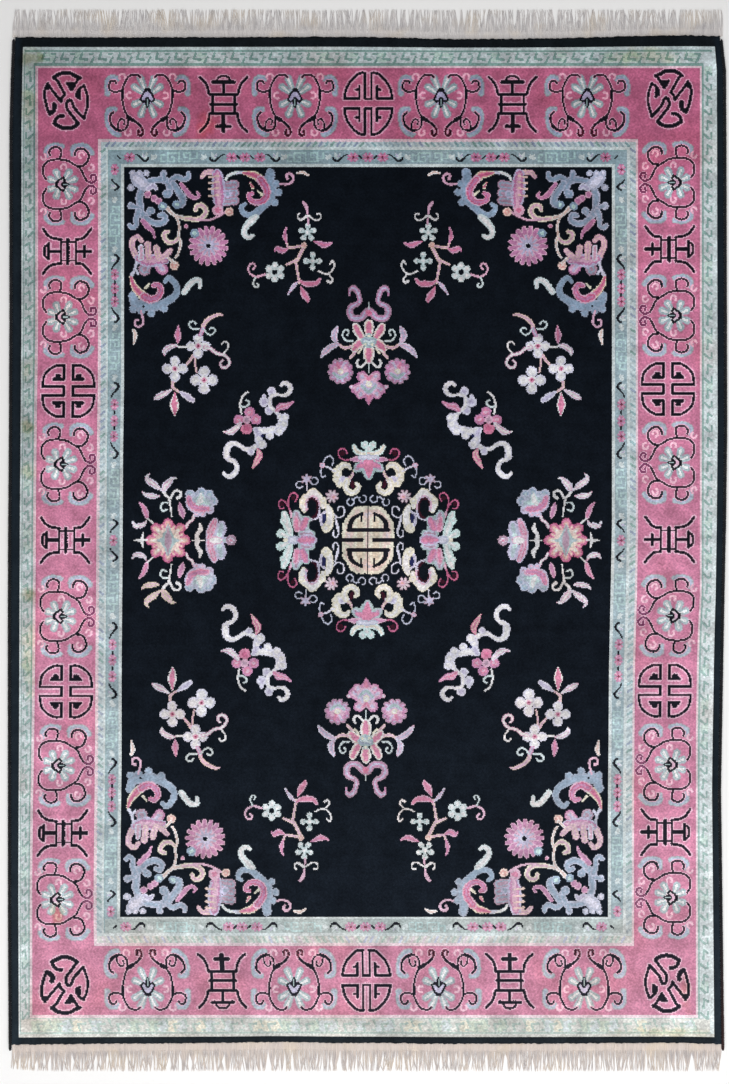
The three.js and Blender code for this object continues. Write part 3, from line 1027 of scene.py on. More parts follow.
# The lily with three orchid blooms and a ribbon that stands towards each end.
END_BOUQUET = Motif("""
both
mauve/orchid/lilac 1.6 3.4 6 5.4 5 5 5 -19.4,-50.6 -19.2,-55.6 -15.6,-58 -11.6,-54.6 -10,-49.6
 -9.2,-45 -12,-41.6
5 6.4 6.8 6.6 7 6 -12.6,-41.8 -17.6,-39 -19.2,-33.4 -16.6,-28.4 -11.4,-27.2 -6.4,-29 -3.4,-33.4
 0,-35.8
once
spot rose/crimson 3.2 0,-33
bar mint 1.3 0,-43 0,-37.8
both
peach/petal 3 3.4 2.4 -14,-1 -20,1.5 -25.5,1.6 -31.4,-2.2
lavender/petal/lilac 3 7 6 3.4 -32.4,-3.4 -34.6,-8.6 -34,-13.8 -31.8,-18
3 5.6 6.6 5.6 2 -30.6,-1.6 -35.6,0 -40,2.4 -44.4,6.4 -47.4,11
mint 1.7 -16.4,-4.8 -22.4,-5.2 -26,-9.6 -25.4,-14.2 -22.6,-16.4 -20,-13.6 -21.8,-10.6
peach/petal 3 -12.4,4.6 -18.4,11.6
milk 2 2.6 2 -2.4,15.4 -6.6,20.4 -10.8,20.4 -12,16.6 -10.4,14
milk/peach/rose/rose 7 9 8 5 -13.2,-19.4 -11.4,-15.4 -8.6,-10.6 -6,-7
6 9 10 6 -15,3.4 -12.4,0.6 -9,-2.2 -5,-4.6
cream 2 -11,7.4 -7,3
both -28.4,24.8
bloom mauve/orchid/lilac 6 6 0,0.4 7,10.2 11,10
orchid/petal/petal 14 18 14 -3.6,0 0,0 3.6,0
rose 2 4 -3.4,-8 -1.4,-3
petal/lilac 3 4 4,-8 2,-3
lilac/sage 4 5.4 4 -6.6,3 0,7 6.6,3
spot cream/milk 2.8 0,0.6
once
milk/peach/rose/rose 8 10.4 9 6 0,-22.6 0,-19 0,-15 0,-11
7 11 11 4 0,1 0,5 0,10 0,16.4
sage/mist/mint 9 12 9 -3.6,-4.6 0,-3.4 3.6,-4.6
spot sage/cream 2.6 0,-10 -3.4,-1.4 3.4,-1.4
bar mint 1.3 0,17 0,26
both 0,39
orchid/petal/lilac 8 11 -2,-2 -11.6,4.6
8 10.4 -3,-4 -6.8,-8.6
8 9 -3,3 -8.4,9.6
spot petal/lavender 2 -17.4,1.8
once 0,39
orchid/rose 9 9 2 0,5 0,12 0,18.6
spot petal/lilac/petal 9.5 0,1
lilac/sage 4 5.6 4 -7,1 0,6.6 7,1
petal/rose 4 6 4 -3,-9 0,-6 3,-9
spot cream/milk 3.2 0,-0.8
""")

# One half of the side bouquet: its branch, fan and side flower.
SIDE_BRANCH = Motif("""
once
milk 1.4 2.2 2.4 3.2 3.6,-24.1 1.7,-36.9 0.4,-42.6 -2.4,-45 -5.2,-49.3
LEAF 2 6.6 7 5 3 1.4 -8,-50.8 -14.6,-56.2 -19.6,-59.6 -21.6,-63 -19,-66.6
5 8 6.4 3 1.6 -4.6,-50.6 -2.2,-55 1.2,-58.6 4.1,-61.9 8,-62
1.4 4.6 6 4 1.4 -8.6,-44.4 -13,-44 -17.6,-44.6 -22.6,-45.6 -25.8,-48.6
milk 2.2 2.4 3.4 2.4,-42 5.4,-48 9.1,-49.8 12.6,-47.6 12,-44.4 9.4,-42.6
mint 1.8 -0.3,-37.7 -4.7,-37.7 -7.5,-33.6 -5.2,-29.4 -1.6,-30.8
petal/orchid/rose 1.6 4 5.6 5 2 -28.4,-37.6 -24.4,-33 -22.2,-27 -20.2,-21
milk 1.6 -20.6,-22 -17.6,-19.6 -15,-17
lavender/petal/milk 1.4 4.4 6 4 1.6 -35.3,-18.6 -33,-14.6 -28,-14.8 -24,-16 -21.6,-20
petal/milk 3 2.6 3 26,-25 23.9,-20.4 20.4,-17.8 18,-13.2
spot ash/sky/slate 4.8 21.9,-46.4 33.4,-48.2 27.6,-44 40.7,-46
spot 5.4 44,-39.4 39.6,-37
spot lilac/mauve 4.6 41.4,-31
spot lilac/petal 3.4 28.6,-26.4 34.4,-26.6
ash/slate/key 18 20 16 27,-37 33,-37 37,-36
lilac/petal/rose/orchid 7 10 11 8 20.4,-42.6 23,-35.4 30,-32 38.6,-31.4
key/milk/milk 3 7 8 5 32.8,-46.4 32.8,-42.4 32,-39.4 30,-37.4
petal/orchid 2 6 6.2 2 11.5,-37 12.6,-32 14,-27.4 15,-22.8
milk 2 4.6 3.4 4.6 31.3,-16.7 32.3,-11.3 28.8,-5.3 29.6,0
lilac/ash/slate 8 11 11 7.6 50,-2 51.4,-7 52.8,-12 53.2,-15.8
lilac/petal/rose/petal 6 9 9.6 7.6 46.6,-19.6 44.8,-14.6 42.6,-8 41.4,-2
spot key/mint 2.4 51,-5.4
""")

# The peony and the stem in the middle of the side bouquet.
SIDE_PEONY = Motif("""
once
bar milk 1.3 24,0 36,0
lilac/slate 5 6 51,0 58,0
spot mauve/lavender 5.2 62.9,0
spot petal/rose 2 62.6,0
petal/milk/milk 7 9 7 44,0 47.4,0 50.8,0
bloom plum/rose/coral/peach 10 10.4 0,0 10,17 4,0
bloom 9 10 0,0 10,17.4 4,45
bloom 4 5 0,0 8,15 8,22.5
bloom peach/cream/milk 6 3.6 0,0 8,14.6 8,0
spot peach/cream/mint 12 0,0
sage/slate/dusk 2 8 14 8 2 0,-15 0,-7 0,0 0,7 0,15
sage/slate 2 8 2 -10.6,0 0,0 10.6,0
dusk/mauve 2 7 7 2 0,-9 0,-3 0,3 0,9
bar milk 3.4 1.4 -26,0 -33.4,0 & -26,0 -24.8,-7.3 & -26,0 -24.8,7.3
bar 2 -26,0 -21,0
""")

# The wreath of scrolls, its four lotus flowers and the cream shou roundel in the middle.
MEDALLION = Motif("""
four
cream/milk/milk 5 7 6.4 6.4 8.6 6.4 6 6.6 4 -63.8,-29.6 -65.8,-36.4 -63.8,-41.6 -59.6,-44.6
 -55,-47.8 -50.8,-44.8 -47.4,-41 -45,-37.4 -45,-32.6
spot cream/cream/milk 3.6 -65.4,-39.2 -44.8,-39
petal/lilac/petal 2.6 2.8 2.6 3 2.8 2.6 1.8 -61.4,-30.4 -61.8,-37 -59.4,-41.2 -55.4,-43.4 -51.2,-41
 -49,-35.6 -48.8,-28.6
lavender/lilac 3.2 3 2 -48.8,-28.6 -50.6,-23 -57.6,-19.8
sloe 6 11 11 10 8 -57,-39.6 -55.6,-36.6 -54.6,-33 -54.6,-29 -54.6,-25.4
night 6 9 9 8 6 -56.6,-37.6 -55.8,-35 -55.6,-32 -55.4,-29 -57,-25.6
bloom dusk/pale 3 2.8 -36,-43.8 2,5.4 8,22
spot petal/coral 2.8 -34.6,-43
cream/milk/milk 4.6 7 7.4 7.4 9.6 9 -40.4,-33.6 -39,-30 -37.8,-25 -38.2,-18.6 -40.2,-13.6
 -41.6,-11.6
spot cream/cream/milk 4.6 -42,-11.8
lavender/lilac 2.4 3 3 3 -42.4,-28.6 -46,-25.4 -47,-20 -45.8,-15
navy 3.4 4.4 3.4 -44,-24.6 -43.8,-21.4 -44,-18.4
lavender 1.4 -30.5,-29.8 -29.5,-32.8 -25.5,-33.6 -23.7,-30.4 -24.2,-25.8 -26.8,-23.3 -30.8,-22.6
 -34,-25.8
1.6 2.4 2.6 1.4 1.3 1.3 1.3 -32.5,-21.8 -31.4,-16.6 -30,-11.6 -29.4,-6.6 -31.6,-2.8 -34.6,-4.4
 -34.4,-9.6
cream/cream/milk 3 5 6.4 7.4 8 9 7 -18.4,-71.4 -20.4,-74.4 -25,-75 -28.8,-72 -30.8,-67.6 -30.6,-62
 -28.8,-56
spot 3.2 -33.2,-69 -32.4,-60.6
lavender/lilac 7 6 5 -25.6,-60.8 -22.4,-60.4 -20,-59.6
petal/tan 3.6 2.6 1.6 -19.6,-60.8 -16.4,-64.6 -14.8,-70
cream/cream/milk 6 6.6 6 6 6 5 3.4 -21.4,-59.4 -22.8,-54.2 -21,-49.4 -16.4,-47.2 -11.6,-49.2
 -9.9,-53.4 -12,-56.8
spot night 3.6 -22.4,-67
sloe 2.4 4.2 3 -16.4,-58.6 -16,-55.6 -15.2,-53
curl ash 1.3 -17.7,-38 3.4,1 -60,300 & -5.6,-41.2 3.6,1 -150,-290
1.3 -14.6,-40.6 -11.6,-43 -9,-42 & -36.6,-75 -34.9,-79.3 -38.4,-83.9 -42.7,-82.1 -44.9,-77.9
 -46.3,-74.3 -47.7,-68.6 -46.3,-62.9 -42.9,-64.3
lavender 1.8 -43.4,-73.6 -39,-72 -34,-68.4
spot petal/lilac 2.6 -46.3,-74.8
plum 1.5 -21.5,-86.6 -23,-90.2 -27,-91.2 -30,-88.6 -30,-84.8 -27.5,-81.8 -23.5,-79.8 -18.5,-80.6
spot sloe 2.4 -26,-86.6
bloom dusk/lilac 3.2 2.2 -61.6,-60.7 2,4.6 6,30
spot lilac 2.6 -61.6,-60.7
curl ash 1.3 -54,-59 3.6,1 150,-280 & -68.6,-55.4 3.4,1 -60,-270
bar lavender 1.3 -61,-56.4 -61.2,-50
plum 1.5 -72.7,-38.6 -70.6,-44.3 -74.9,-47.1 -79.1,-42.9 -79.5,-35.7 -78.4,-30 -77,-24.3
petal 1.6 3 -77.6,-29 -76,-23.4
plum 1.5 -79.6,-33 -82.7,-38 -87,-40 -89.4,-36.4 -87.6,-31.6 -84.4,-31.8
spot sloe 2.2 -86,-35.8 -74.8,-42
four
sage/ash/mauve 7 12 16 12 8 -71.6,-26.6 -70.4,-20.6 -67,-16.4 -64.6,-14 -62,-10
spot 3.8 -61,-20.4
8 9 8 -66,-6 -60.6,-6.4 -56.6,-5.8
petal/rose 5 7.4 7 -72,-21.4 -71.2,-16.4 -70.4,-11.4
orchid/rose 5.4 7 6 -61.8,-20.4 -63.6,-16 -65.6,-11.4
key/mint/milk 5 8 8.6 8 6 -84,-27 -82.4,-22 -80.8,-16 -78.8,-10 -77.4,-4
spot 3.2 -84.6,-19.4
spot 4.4 -87,-6.4
6 5 -86,-6 -80,-3
both
spot cream 2.4 -82.4,0
ash/lavender 8 9 6 -76,0 -73.4,0 -70,0
lilac/orchid/rose 7 12 12 9 -68,0 -63,0 -58.6,0 -55.4,0
four
sage/ash/mauve 10 10 7 -5,-75 -9.4,-73 -12,-71
petal/orchid 3 5.4 5 -17.6,-80.4 -12.4,-80.8 -6,-80.8
key/milk/cream 4.6 6 6 6 -14.8,-93.4 -12,-88.8 -6.6,-86.4 0,-86
spot key/mint/milk 3.8 -4,-95
down
spot 4 0,-91.6
spot peach 1.5 0,-86.6
sage/ash/mauve 16 11 5 0,-74 0,-67 0.3,-62.4
four
orchid/rose 6.6 6 4 -3,-76 -7,-74.6 -10.4,-73.6
down
rose 10 9 5 2 0,-77 0,-72.6 0.3,-67 0.3,-62.6
ash/lavender 4 5.4 4 -9,-82.4 0,-83 9,-82.4
both
bar cream/peach/pale 18 -16.8,0 -16.4,14 -9,24.8 0,24.8 & -16.8,0 -16.4,-14 -9,-24.8 0,-24.8
bar peach/cream/tan 20 -8,-18 -8,18
four
jet 2 3 4 4.8 5 5 -5.6,-26.6 -8.4,-25.2 -12.6,-23 -16.4,-19.2 -17.9,-14.8 -18,-10.4
bar 2.9 2.2 -6.5,-26.4 -6.5,-19
bar 3.2 -20.4,-10 0,-10
both
bar 3.8 -27.4,0 -6,0
once
bar 1.2 0.2,-34 0.2,34
""")


@dataclass(frozen=True)
class FieldPlan:
    """Where the motifs of the dark field stand, for its far left quarter.

    Fields:
        slip: how far the whole drawing has slipped towards the near end.
        near_leaf, far_leaf: the wools of the side bouquets' leaves.
    """

    quarter: tuple[tuple[Motif, Point], ...] = (
        (MINT_SPRIG, (-60.5, -290.5)),
        (PLUM_SPRIG, (-184.5, -175.5)),
        (SCROLL_GROUP, (-112.5, -110.5)),
    )
    end_bouquet: Point = (1.0, -195.5)
    side_bouquet: Point = (-198.2, -1.0)
    medallion: Point = (1.2, -1.4)
    slip: float = 0.9
    leaf: str = "lavender/petal/milk"
    left_near_leaf: str = "tan/petal/tan"

    def draw(self, chart: Chart, edges: dict[Side, float]) -> None:
        """Draws the whole field.

        Args:
            chart: the chart.
            edges: the edges of the field.
        """
        middle = Pen(chart, (0.0, self.slip))
        for x, side in ((1, Side.LEFT), (-1, Side.RIGHT)):
            for y, end in ((1, Side.TOP), (-1, Side.BOTTOM)):
                pen = middle.scaled(x, y)
                level = edges[end] + self.slip * (end is Side.BOTTOM)
                CORNER_SPRAY.draw(replace(pen, place=(edges[side], level)))
                for motif, place in self.quarter:
                    motif.draw(pen.at(*place))
        for y in (1, -1):
            END_BOUQUET.draw(middle.scaled(1, y).at(*self.end_bouquet))
        for x, near_leaf in ((1, self.left_near_leaf), (-1, self.leaf)):
            pen = middle.scaled(x, 1).at(*self.side_bouquet)
            for y, leaf in ((1, self.leaf), (-1, near_leaf)):
                Motif(SIDE_BRANCH.text.replace("LEAF", leaf)).draw(pen.scaled(1, y))
            SIDE_PEONY.draw(pen)
        MEDALLION.draw(middle.at(*self.medallion))


def draw_chart() -> Chart:
    """Draws the whole chart.

    Returns:
        The chart, ready to be knotted.
    """
    chart = Chart()
    borders = Borders(chart)
    borders.lay_out()
    OuterGuard().draw(borders.runs["outer guard"])
    HatchGuard().draw(borders.runs["hatched guard"])
    ScrollGuard().draw(borders.runs["scroll guard"])
    PinkBorder().draw(borders.runs["border"])
    FieldPlan().draw(chart, borders.field_edges)
    return chart


@dataclass(frozen=True)
class RugEdges:
    """The four edges of the knotted body as they lie on the floor.

    Each is a list of places in order: y and x for the two sides, x and y for the ends.
    """

    left: np.ndarray
    right: np.ndarray
    far: np.ndarray
    near: np.ndarray

    @classmethod
    def of_node(cls, name: str, side: float = 0.80, end: float = 1.185,
                levels: Point = (0.006, 0.011)) -> "RugEdges":
        """Reads the edges from the wall of the CAD body.

        Args:
            name: the CAD node of the knotted body.
            side: how far out a corner has to be to count for a side.
            end: how far out it has to be to count for an end.
            levels: the lowest and the highest corners that are read.

        Returns:
            The edges.
        """
        spots = node_corners(name)
        wall = (spots[:, 2] > levels[0]) & (spots[:, 2] < levels[1])
        line = np.unique(np.round(spots[wall][:, :2], 6), axis=0)
        x, y = line.T

        def ordered(keep: np.ndarray, along: int) -> np.ndarray:
            """The kept places in order along one axis."""
            places = line[keep][:, [along, 1 - along]]
            return places[places[:, 0].argsort()]

        return cls(ordered(x < -side, 1), ordered(x > side, 1),
                   ordered(y > end, 0), ordered(y < -end, 0))


@dataclass(frozen=True)
class Drift:
    """How far a line of the pattern has slipped sideways on the loom.

    Fields:
        column: the line, as a column of the chart.
        rows: rows where the slip was taken.
        slips: the slip there, in knots.
    """

    column: float
    rows: tuple[float, ...]
    slips: tuple[float, ...]


@dataclass(frozen=True)
class GroundPlan:
    """Where the chart's knots lie on the floor."""

    edges: RugEdges
    half_length: float = 1.192
    middle_column: float = 357.55
    calm: float = 0.06
    scallop: float = 0.0008
    seed: int = 17
    drifts: tuple[Drift, ...] = (
        Drift(27.6, (293, 383, 463, 563, 623, 698, 768, 838),
              (0, -1.2, -2, -2.5, -3, -3.8, -5, -5.8)),
        Drift(60, (293, 383, 463, 563, 623, 698, 768, 838, 900, 935),
              (0, -0.9, -1.6, -2.1, -2.7, -3.3, -4.2, -4.9, -4.7, -2.2)),
        Drift(113.3, (348, 418, 523, 628, 733, 803, 878, 906, 940),
              (0, -1, -1.5, -2.4, -2.5, -3.4, -4, -3.6, -0.6)),
        Drift(357.5, (330, 418, 523, 628, 698, 768, 820, 900, 948),
              (0.4, 0, -0.9, -2.3, -2.7, -2.8, -2.7, -1.8, -0.9)),
        Drift(540, (300, 488, 558, 628, 698, 768, 878, 948),
              (0.9, 0.8, -0.4, -1.8, -2.3, -2.9, -2.9, -2.2)),
        Drift(602, (488, 558, 628, 698, 768), (0, -1.4, -2.9, -3.4, -4)),
        Drift(689.8, (558, 593, 628, 698), (0, -2, -3, -4)),
    )

    def lines(self) -> tuple[np.ndarray, np.ndarray]:
        """The corners of all the knots.

        Returns:
            Their x and their y, each with a row for each line between two rows of knots.
        """
        row = np.arange(ROWS + 1)
        level = self.half_length - row * KNOT
        columns = [0.0] + [drift.column for drift in self.drifts] + [float(COLUMNS)]
        anchors = [np.interp(level, *self.edges.left.T)]
        for drift in self.drifts:
            slip = np.interp(row, drift.rows, drift.slips)
            anchors.append((drift.column - self.middle_column + slip) * KNOT)
        anchors.append(np.interp(level, *self.edges.right.T))
        column = np.arange(COLUMNS + 1)
        hats = np.array([np.interp(column, columns, np.eye(len(columns))[k])
                         for k in range(len(columns))])
        x = np.array(anchors).T @ hats
        far = np.interp(x, *self.edges.far.T) - level[0]
        near = np.interp(x, *self.edges.near.T) - level[-1]
        far_share = np.clip(1 - (level[0] - level) / self.calm, 0, 1)[:, None]
        near_share = np.clip(1 - (level - level[-1]) / self.calm, 0, 1)[:, None]
        y = level[:, None] + far * far_share**2 + near * near_share**2
        random = np.random.default_rng(self.seed)
        for line in (0, -1):
            rough = random.standard_normal(COLUMNS + 1)
            rough = (rough + np.roll(rough, 1) + np.roll(rough, 2)) / 2
            y[line] += self.scallop * rough.clip(-1.5, 1.5)
        return x, y


@dataclass
class MeshParts:
    """Corners, faces, colours and bake places gathered for one mesh."""

    corners: list[np.ndarray] = field(default_factory=list)
    faces: list[list[int]] = field(default_factory=list)
    colours: list[tuple[float, float, float]] = field(default_factory=list)
    places: list[np.ndarray] = field(default_factory=list)
    count: int = 0

    def add_corners(self, corners: np.ndarray) -> int:
        """Adds corners.

        Args:
            corners: their places, one row each.

        Returns:
            The number of the first one.
        """
        first = self.count
        self.corners.append(corners)
        self.count += len(corners)
        return first

    def add_face(self, face: Sequence[int], wool: int, places: np.ndarray) -> None:
        """Adds a face with its wool, as a number into WOOLS, and its bake places."""
        self.faces.append(face)
        self.colours.append(WOOL_SHADES[wool])
        self.places.append(places)

    def add_tube(self, rings: np.ndarray, flip: int = 1) -> None:
        """Adds a closed tube.

        Args:
            rings: its rings of corners, from one end to the other.
            flip: minus one if they lie the other way round.
        """
        count, around = rings.shape[:2]
        first = self.add_corners(rings.reshape(-1, 3))
        numbers = (first + np.arange(count * around)).reshape(count, around).tolist()
        for low, high in zip(numbers, numbers[1:]):
            for k in range(around):
                n = (k + 1) % around
                self.faces.append([low[k], high[k], high[n], low[n]][::flip])
        self.faces.append(numbers[0][::flip])
        self.faces.append(numbers[-1][::-flip])

    def build(self, name: str) -> Piece:
        """Makes the mesh and its object.

        Args:
            name: the piece's name.

        Returns:
            The object, linked to the scene.
        """
        mesh = bpy.data.meshes.new(name)
        mesh.from_pydata(np.vstack(self.corners).tolist(), [], self.faces)
        sizes = np.array([len(face) for face in self.faces])
        if self.colours:
            shades = np.ones((sizes.sum(), 4))
            shades[:, :3] = np.repeat(np.array(self.colours), sizes, axis=0)
            layer = mesh.color_attributes.new("knot_colour", "BYTE_COLOR", "CORNER")
            layer.data.foreach_set("color_srgb", shades.ravel())
        if self.places:
            bake = mesh.uv_layers.new(name="OFBake")
            bake.data.foreach_set("uv", np.vstack(self.places).ravel())
        mesh.update()
        piece = bpy.data.objects.new(name, mesh)
        bpy.context.collection.objects.link(piece)
        return piece


def rings_along(x: np.ndarray, y: np.ndarray, z: np.ndarray, reach: np.ndarray,
                around: int, squash: float = 1.0) -> np.ndarray:
    """Rings of corners round a line that runs along the rug.

    Args:
        x, y, z: the line.
        reach: the radius of each ring, or of each corner of it.
        around: corners in a ring.
        squash: a ring's height as a share of its width.

    Returns:
        The corners, ring by ring.
    """
    turn = np.linspace(0, 2 * math.pi, around, endpoint=False)
    spots = np.broadcast_arrays(x[:, None] + reach * np.cos(turn), y[:, None],
                                z[:, None] + squash * reach * np.sin(turn))
    return np.stack(spots, axis=2)


def node_corners(name: str) -> np.ndarray:
    """The corners of a CAD node's solid, one row each."""
    return np.array([v.co[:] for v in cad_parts[name].data.vertices])


@dataclass(frozen=True)
class KnotFace:
    """A face of knots in which each run of one wool is one flat facet."""

    knots: np.ndarray
    x: np.ndarray
    y: np.ndarray
    z: np.ndarray
    fixed: np.ndarray

    def breaks(self) -> np.ndarray:
        """Which lines part two wools, or are kept, in each row of knots."""
        marks = np.zeros((self.knots.shape[0], self.knots.shape[1] + 1), bool)
        marks[:, 1:-1] = self.knots[:, 1:] != self.knots[:, :-1]
        marks[:, self.fixed] = True
        marks[[0, -1]] = True
        return marks

    def lay(self, parts: MeshParts, upward: bool) -> np.ndarray:
        """Adds the face to a mesh.

        Args:
            parts: the mesh's parts.
            upward: whether the face looks up.

        Returns:
            The number of the mesh corner at each knot corner, or less than nothing for none.
        """
        marks = self.breaks()
        used = np.zeros(self.x.shape, bool)
        used[:-1] |= marks
        used[1:] |= marks
        first = parts.add_corners(np.stack([self.x[used], self.y[used], self.z[used]], axis=1))
        number = np.full(self.x.shape, -1)
        number[used] = first + np.arange(used.sum())
        rows, width = self.knots.shape
        for i in range(rows):
            cuts = np.flatnonzero(marks[i])
            above, below = np.flatnonzero(used[i]), np.flatnonzero(used[i + 1])
            above_at = np.searchsorted(above, cuts).tolist()
            below_at = np.searchsorted(below, cuts).tolist()
            top, foot = number[i, above].tolist(), number[i + 1, below].tolist()
            for k in range(len(cuts) - 1):
                face = foot[below_at[k] : below_at[k + 1] + 1]
                face += top[above_at[k] : above_at[k + 1] + 1][::-1]
                spots = [(c, i + 1) for c in below[below_at[k] : below_at[k + 1] + 1]]
                spots += [(c, i) for c in above[above_at[k] : above_at[k + 1] + 1][::-1]]
                way = 1 if upward else -1
                parts.add_face(face[::way], self.knots[i, cuts[k]], np.array(spots[::way], float))
        return number


@dataclass(frozen=True)
class FoldedPlan:
    """The bake places of one strip of pile, folded in lengths that lie side by side.

    Fields:
        count: how many lengths.
        left, wide: where the top starts in a length, and how wide it is.
        low, long: where it starts along the length, and how long it is.
        left_wall, right_wall, foot: where the walls and the foot lie.
        wall: the depth of an end wall.
    """

    count: int = 3
    left: float = 0.04
    wide: float = 0.86
    low: float = 0.012
    long: float = 0.97
    left_wall: Point = (0.008, 0.022)
    right_wall: Point = (0.93, 0.945)
    foot: Point = (0.96, 0.985)
    wall: float = 0.006

    @property
    def rows(self) -> int:
        """The rows of knots in one length."""
        return math.ceil(ROWS / self.count)

    def turn(self, row: float) -> float:
        """Which length a row lies in."""
        return row // self.rows

    def across(self, turn: float, *shares: float) -> list[float]:
        """Places across the plan, from shares of one length's width."""
        return [(turn + share) / self.count for share in shares]

    def span(self, row: int) -> Point:
        """Where a row starts and ends along its length."""
        start = self.low + self.long * (row - self.turn(row) * self.rows) / self.rows
        return start, start + self.long / self.rows

    def places(self, spots: np.ndarray, width: int) -> np.ndarray:
        """The bake places of one facet of the top, from its columns and rows."""
        turn = self.turn(spots[:, 1].min())
        u = (turn + self.left + self.wide * spots[:, 0] / width) / self.count
        v = self.low + self.long * (spots[:, 1] - turn * self.rows) / self.rows
        return np.stack([u, v], axis=1)


@dataclass(frozen=True)
class KnottedPile:
    """The clipped wool pile, built in upright strips."""

    thickness: float = 0.012
    foot: float = 0.004
    rim_drop: float = 0.0025
    rim_width: float = 0.0035
    swell: float = 0.0004
    strips: int = 6
    spacing: int = 24
    fold: FoldedPlan = FoldedPlan()

    def height(self, x: np.ndarray, y: np.ndarray) -> np.ndarray:
        """The height of the clipped surface over each knot corner.

        Args:
            x, y: places of the knot corners.

        Returns:
            The heights.
        """
        side = np.minimum(x - x[:, :1], x[:, -1:] - x)
        end = np.minimum(y[:1] - y, y - y[-1:])
        edge = np.clip(1 - np.minimum(side, end) / self.rim_width, 0, 1)
        wave = (np.sin(3.1 * x + 1.7) * np.sin(2.3 * y + 0.4)
                + 0.6 * np.sin(11 * x - 4 * y) + 0.4 * np.sin(5 * x + 17 * y + 2))
        return self.thickness - self.swell * (1 - wave / 2) / 2 - self.rim_drop * edge**1.5

    def build(self, chart: Chart, x: np.ndarray, y: np.ndarray) -> list[Piece]:
        """Builds the strips.

        Args:
            chart: the weaver's chart.
            x, y: places of the knot corners.

        Returns:
            One object for each strip.
        """
        bounds = np.linspace(0, COLUMNS, self.strips + 1).round().astype(int)
        spans = zip(bounds[:-1], bounds[1:])
        return [self.strip(chart.knots, (x, y, self.height(x, y)), span).build(f"pile_strip_{k}")
                for k, span in enumerate(spans, 1)]

    def strip(self, knots: np.ndarray, corners: tuple[np.ndarray, ...],
              span: tuple[int, int]) -> MeshParts:
        """Lays one strip as a closed mesh.

        Args:
            knots: the chart's knots.
            corners: the x, y and z of the knot corners.
            span: the strip's first column, and the one after its last.

        Returns:
            The strip's parts.
        """
        start, stop = span
        parts = MeshParts()
        columns = np.arange(start, stop + 1)
        near_side = (columns < 3) | (columns > COLUMNS - 3)
        fixed = (columns % self.spacing == 0) | near_side
        fixed[[0, -1]] = True
        own = [values[:, start : stop + 1] for values in corners]
        face = KnotFace(knots[:, start:stop], *own, fixed)
        corner = face.lay(parts, upward=True)
        for k, spots in enumerate(parts.places):
            parts.places[k] = self.fold.places(spots, stop - start)
        self.close(parts, corner, face)
        return parts

    def close(self, parts: MeshParts, corner: np.ndarray, face: KnotFace) -> None:
        """Adds the walls and the foot of a strip.

        Args:
            parts: the mesh's parts.
            corner: the number of the mesh corner at each knot corner of the top.
            face: the top.
        """
        fold = self.fold
        rows, width = face.knots.shape
        feet: dict[tuple[int, int], int] = {}

        def foot(i: int, k: int) -> int:
            """The foot under a corner of the top, made when it is first asked for."""
            if (i, k) not in feet:
                place = np.array([[face.x[i, k], face.y[i, k], self.foot]])
                feet[i, k] = parts.add_corners(place)
            return feet[i, k]

        def wall(a: tuple[int, int], b: tuple[int, int], u: Sequence[float],
                 v: Sequence[float]) -> None:
            """Adds one wall facet between two corners of the top, with its bake place."""
            wool = face.knots[min(a[0], rows - 1), min(max(a[1] - 1, 0), width - 1)]
            spots = np.array([(u[0], v[0]), (u[1], v[0]), (u[1], v[1]), (u[0], v[1])])
            parts.add_face([int(corner[a]), foot(*a), foot(*b), int(corner[b])], wool, spots)

        for i in range(rows):
            turn, (v0, v1) = fold.turn(i), fold.span(i)
            wall((i, 0), (i + 1, 0), fold.across(turn, *fold.left_wall), (v0, v1))
            wall((i + 1, width), (i, width), fold.across(turn, *fold.right_wall), (v1, v0))
        for i, v, turn, way in ((0, 0.002, 0, -1), (rows, 0.99, fold.count - 1, 1)):
            line = np.flatnonzero(corner[i] >= 0).tolist()
            for pair in zip(line[:-1], line[1:]):
                a, b = pair[::way]
                u = fold.across(turn, *(fold.left + fold.wide * c / width for c in (a, b)))
                wall((i, a), (i, b), u, (v, v + fold.wall))
        for i in range(rows):
            far = [foot(i, k) for k in range(width + 1) if (i, k) in feet]
            close = [foot(i + 1, k) for k in range(width, -1, -1) if (i + 1, k) in feet]
            (u0, u1), (v0, v1) = fold.across(fold.turn(i), *fold.foot), fold.span(i)
            along = [(u0 + (u1 - u0) * n / (len(far) - 1), v0) for n in range(len(far))]
            back = [(u1 - (u1 - u0) * n / (len(close) - 1), v1) for n in range(len(close))]
            parts.add_face(far + close, CODE[Wool.STONE], np.array(along + back))


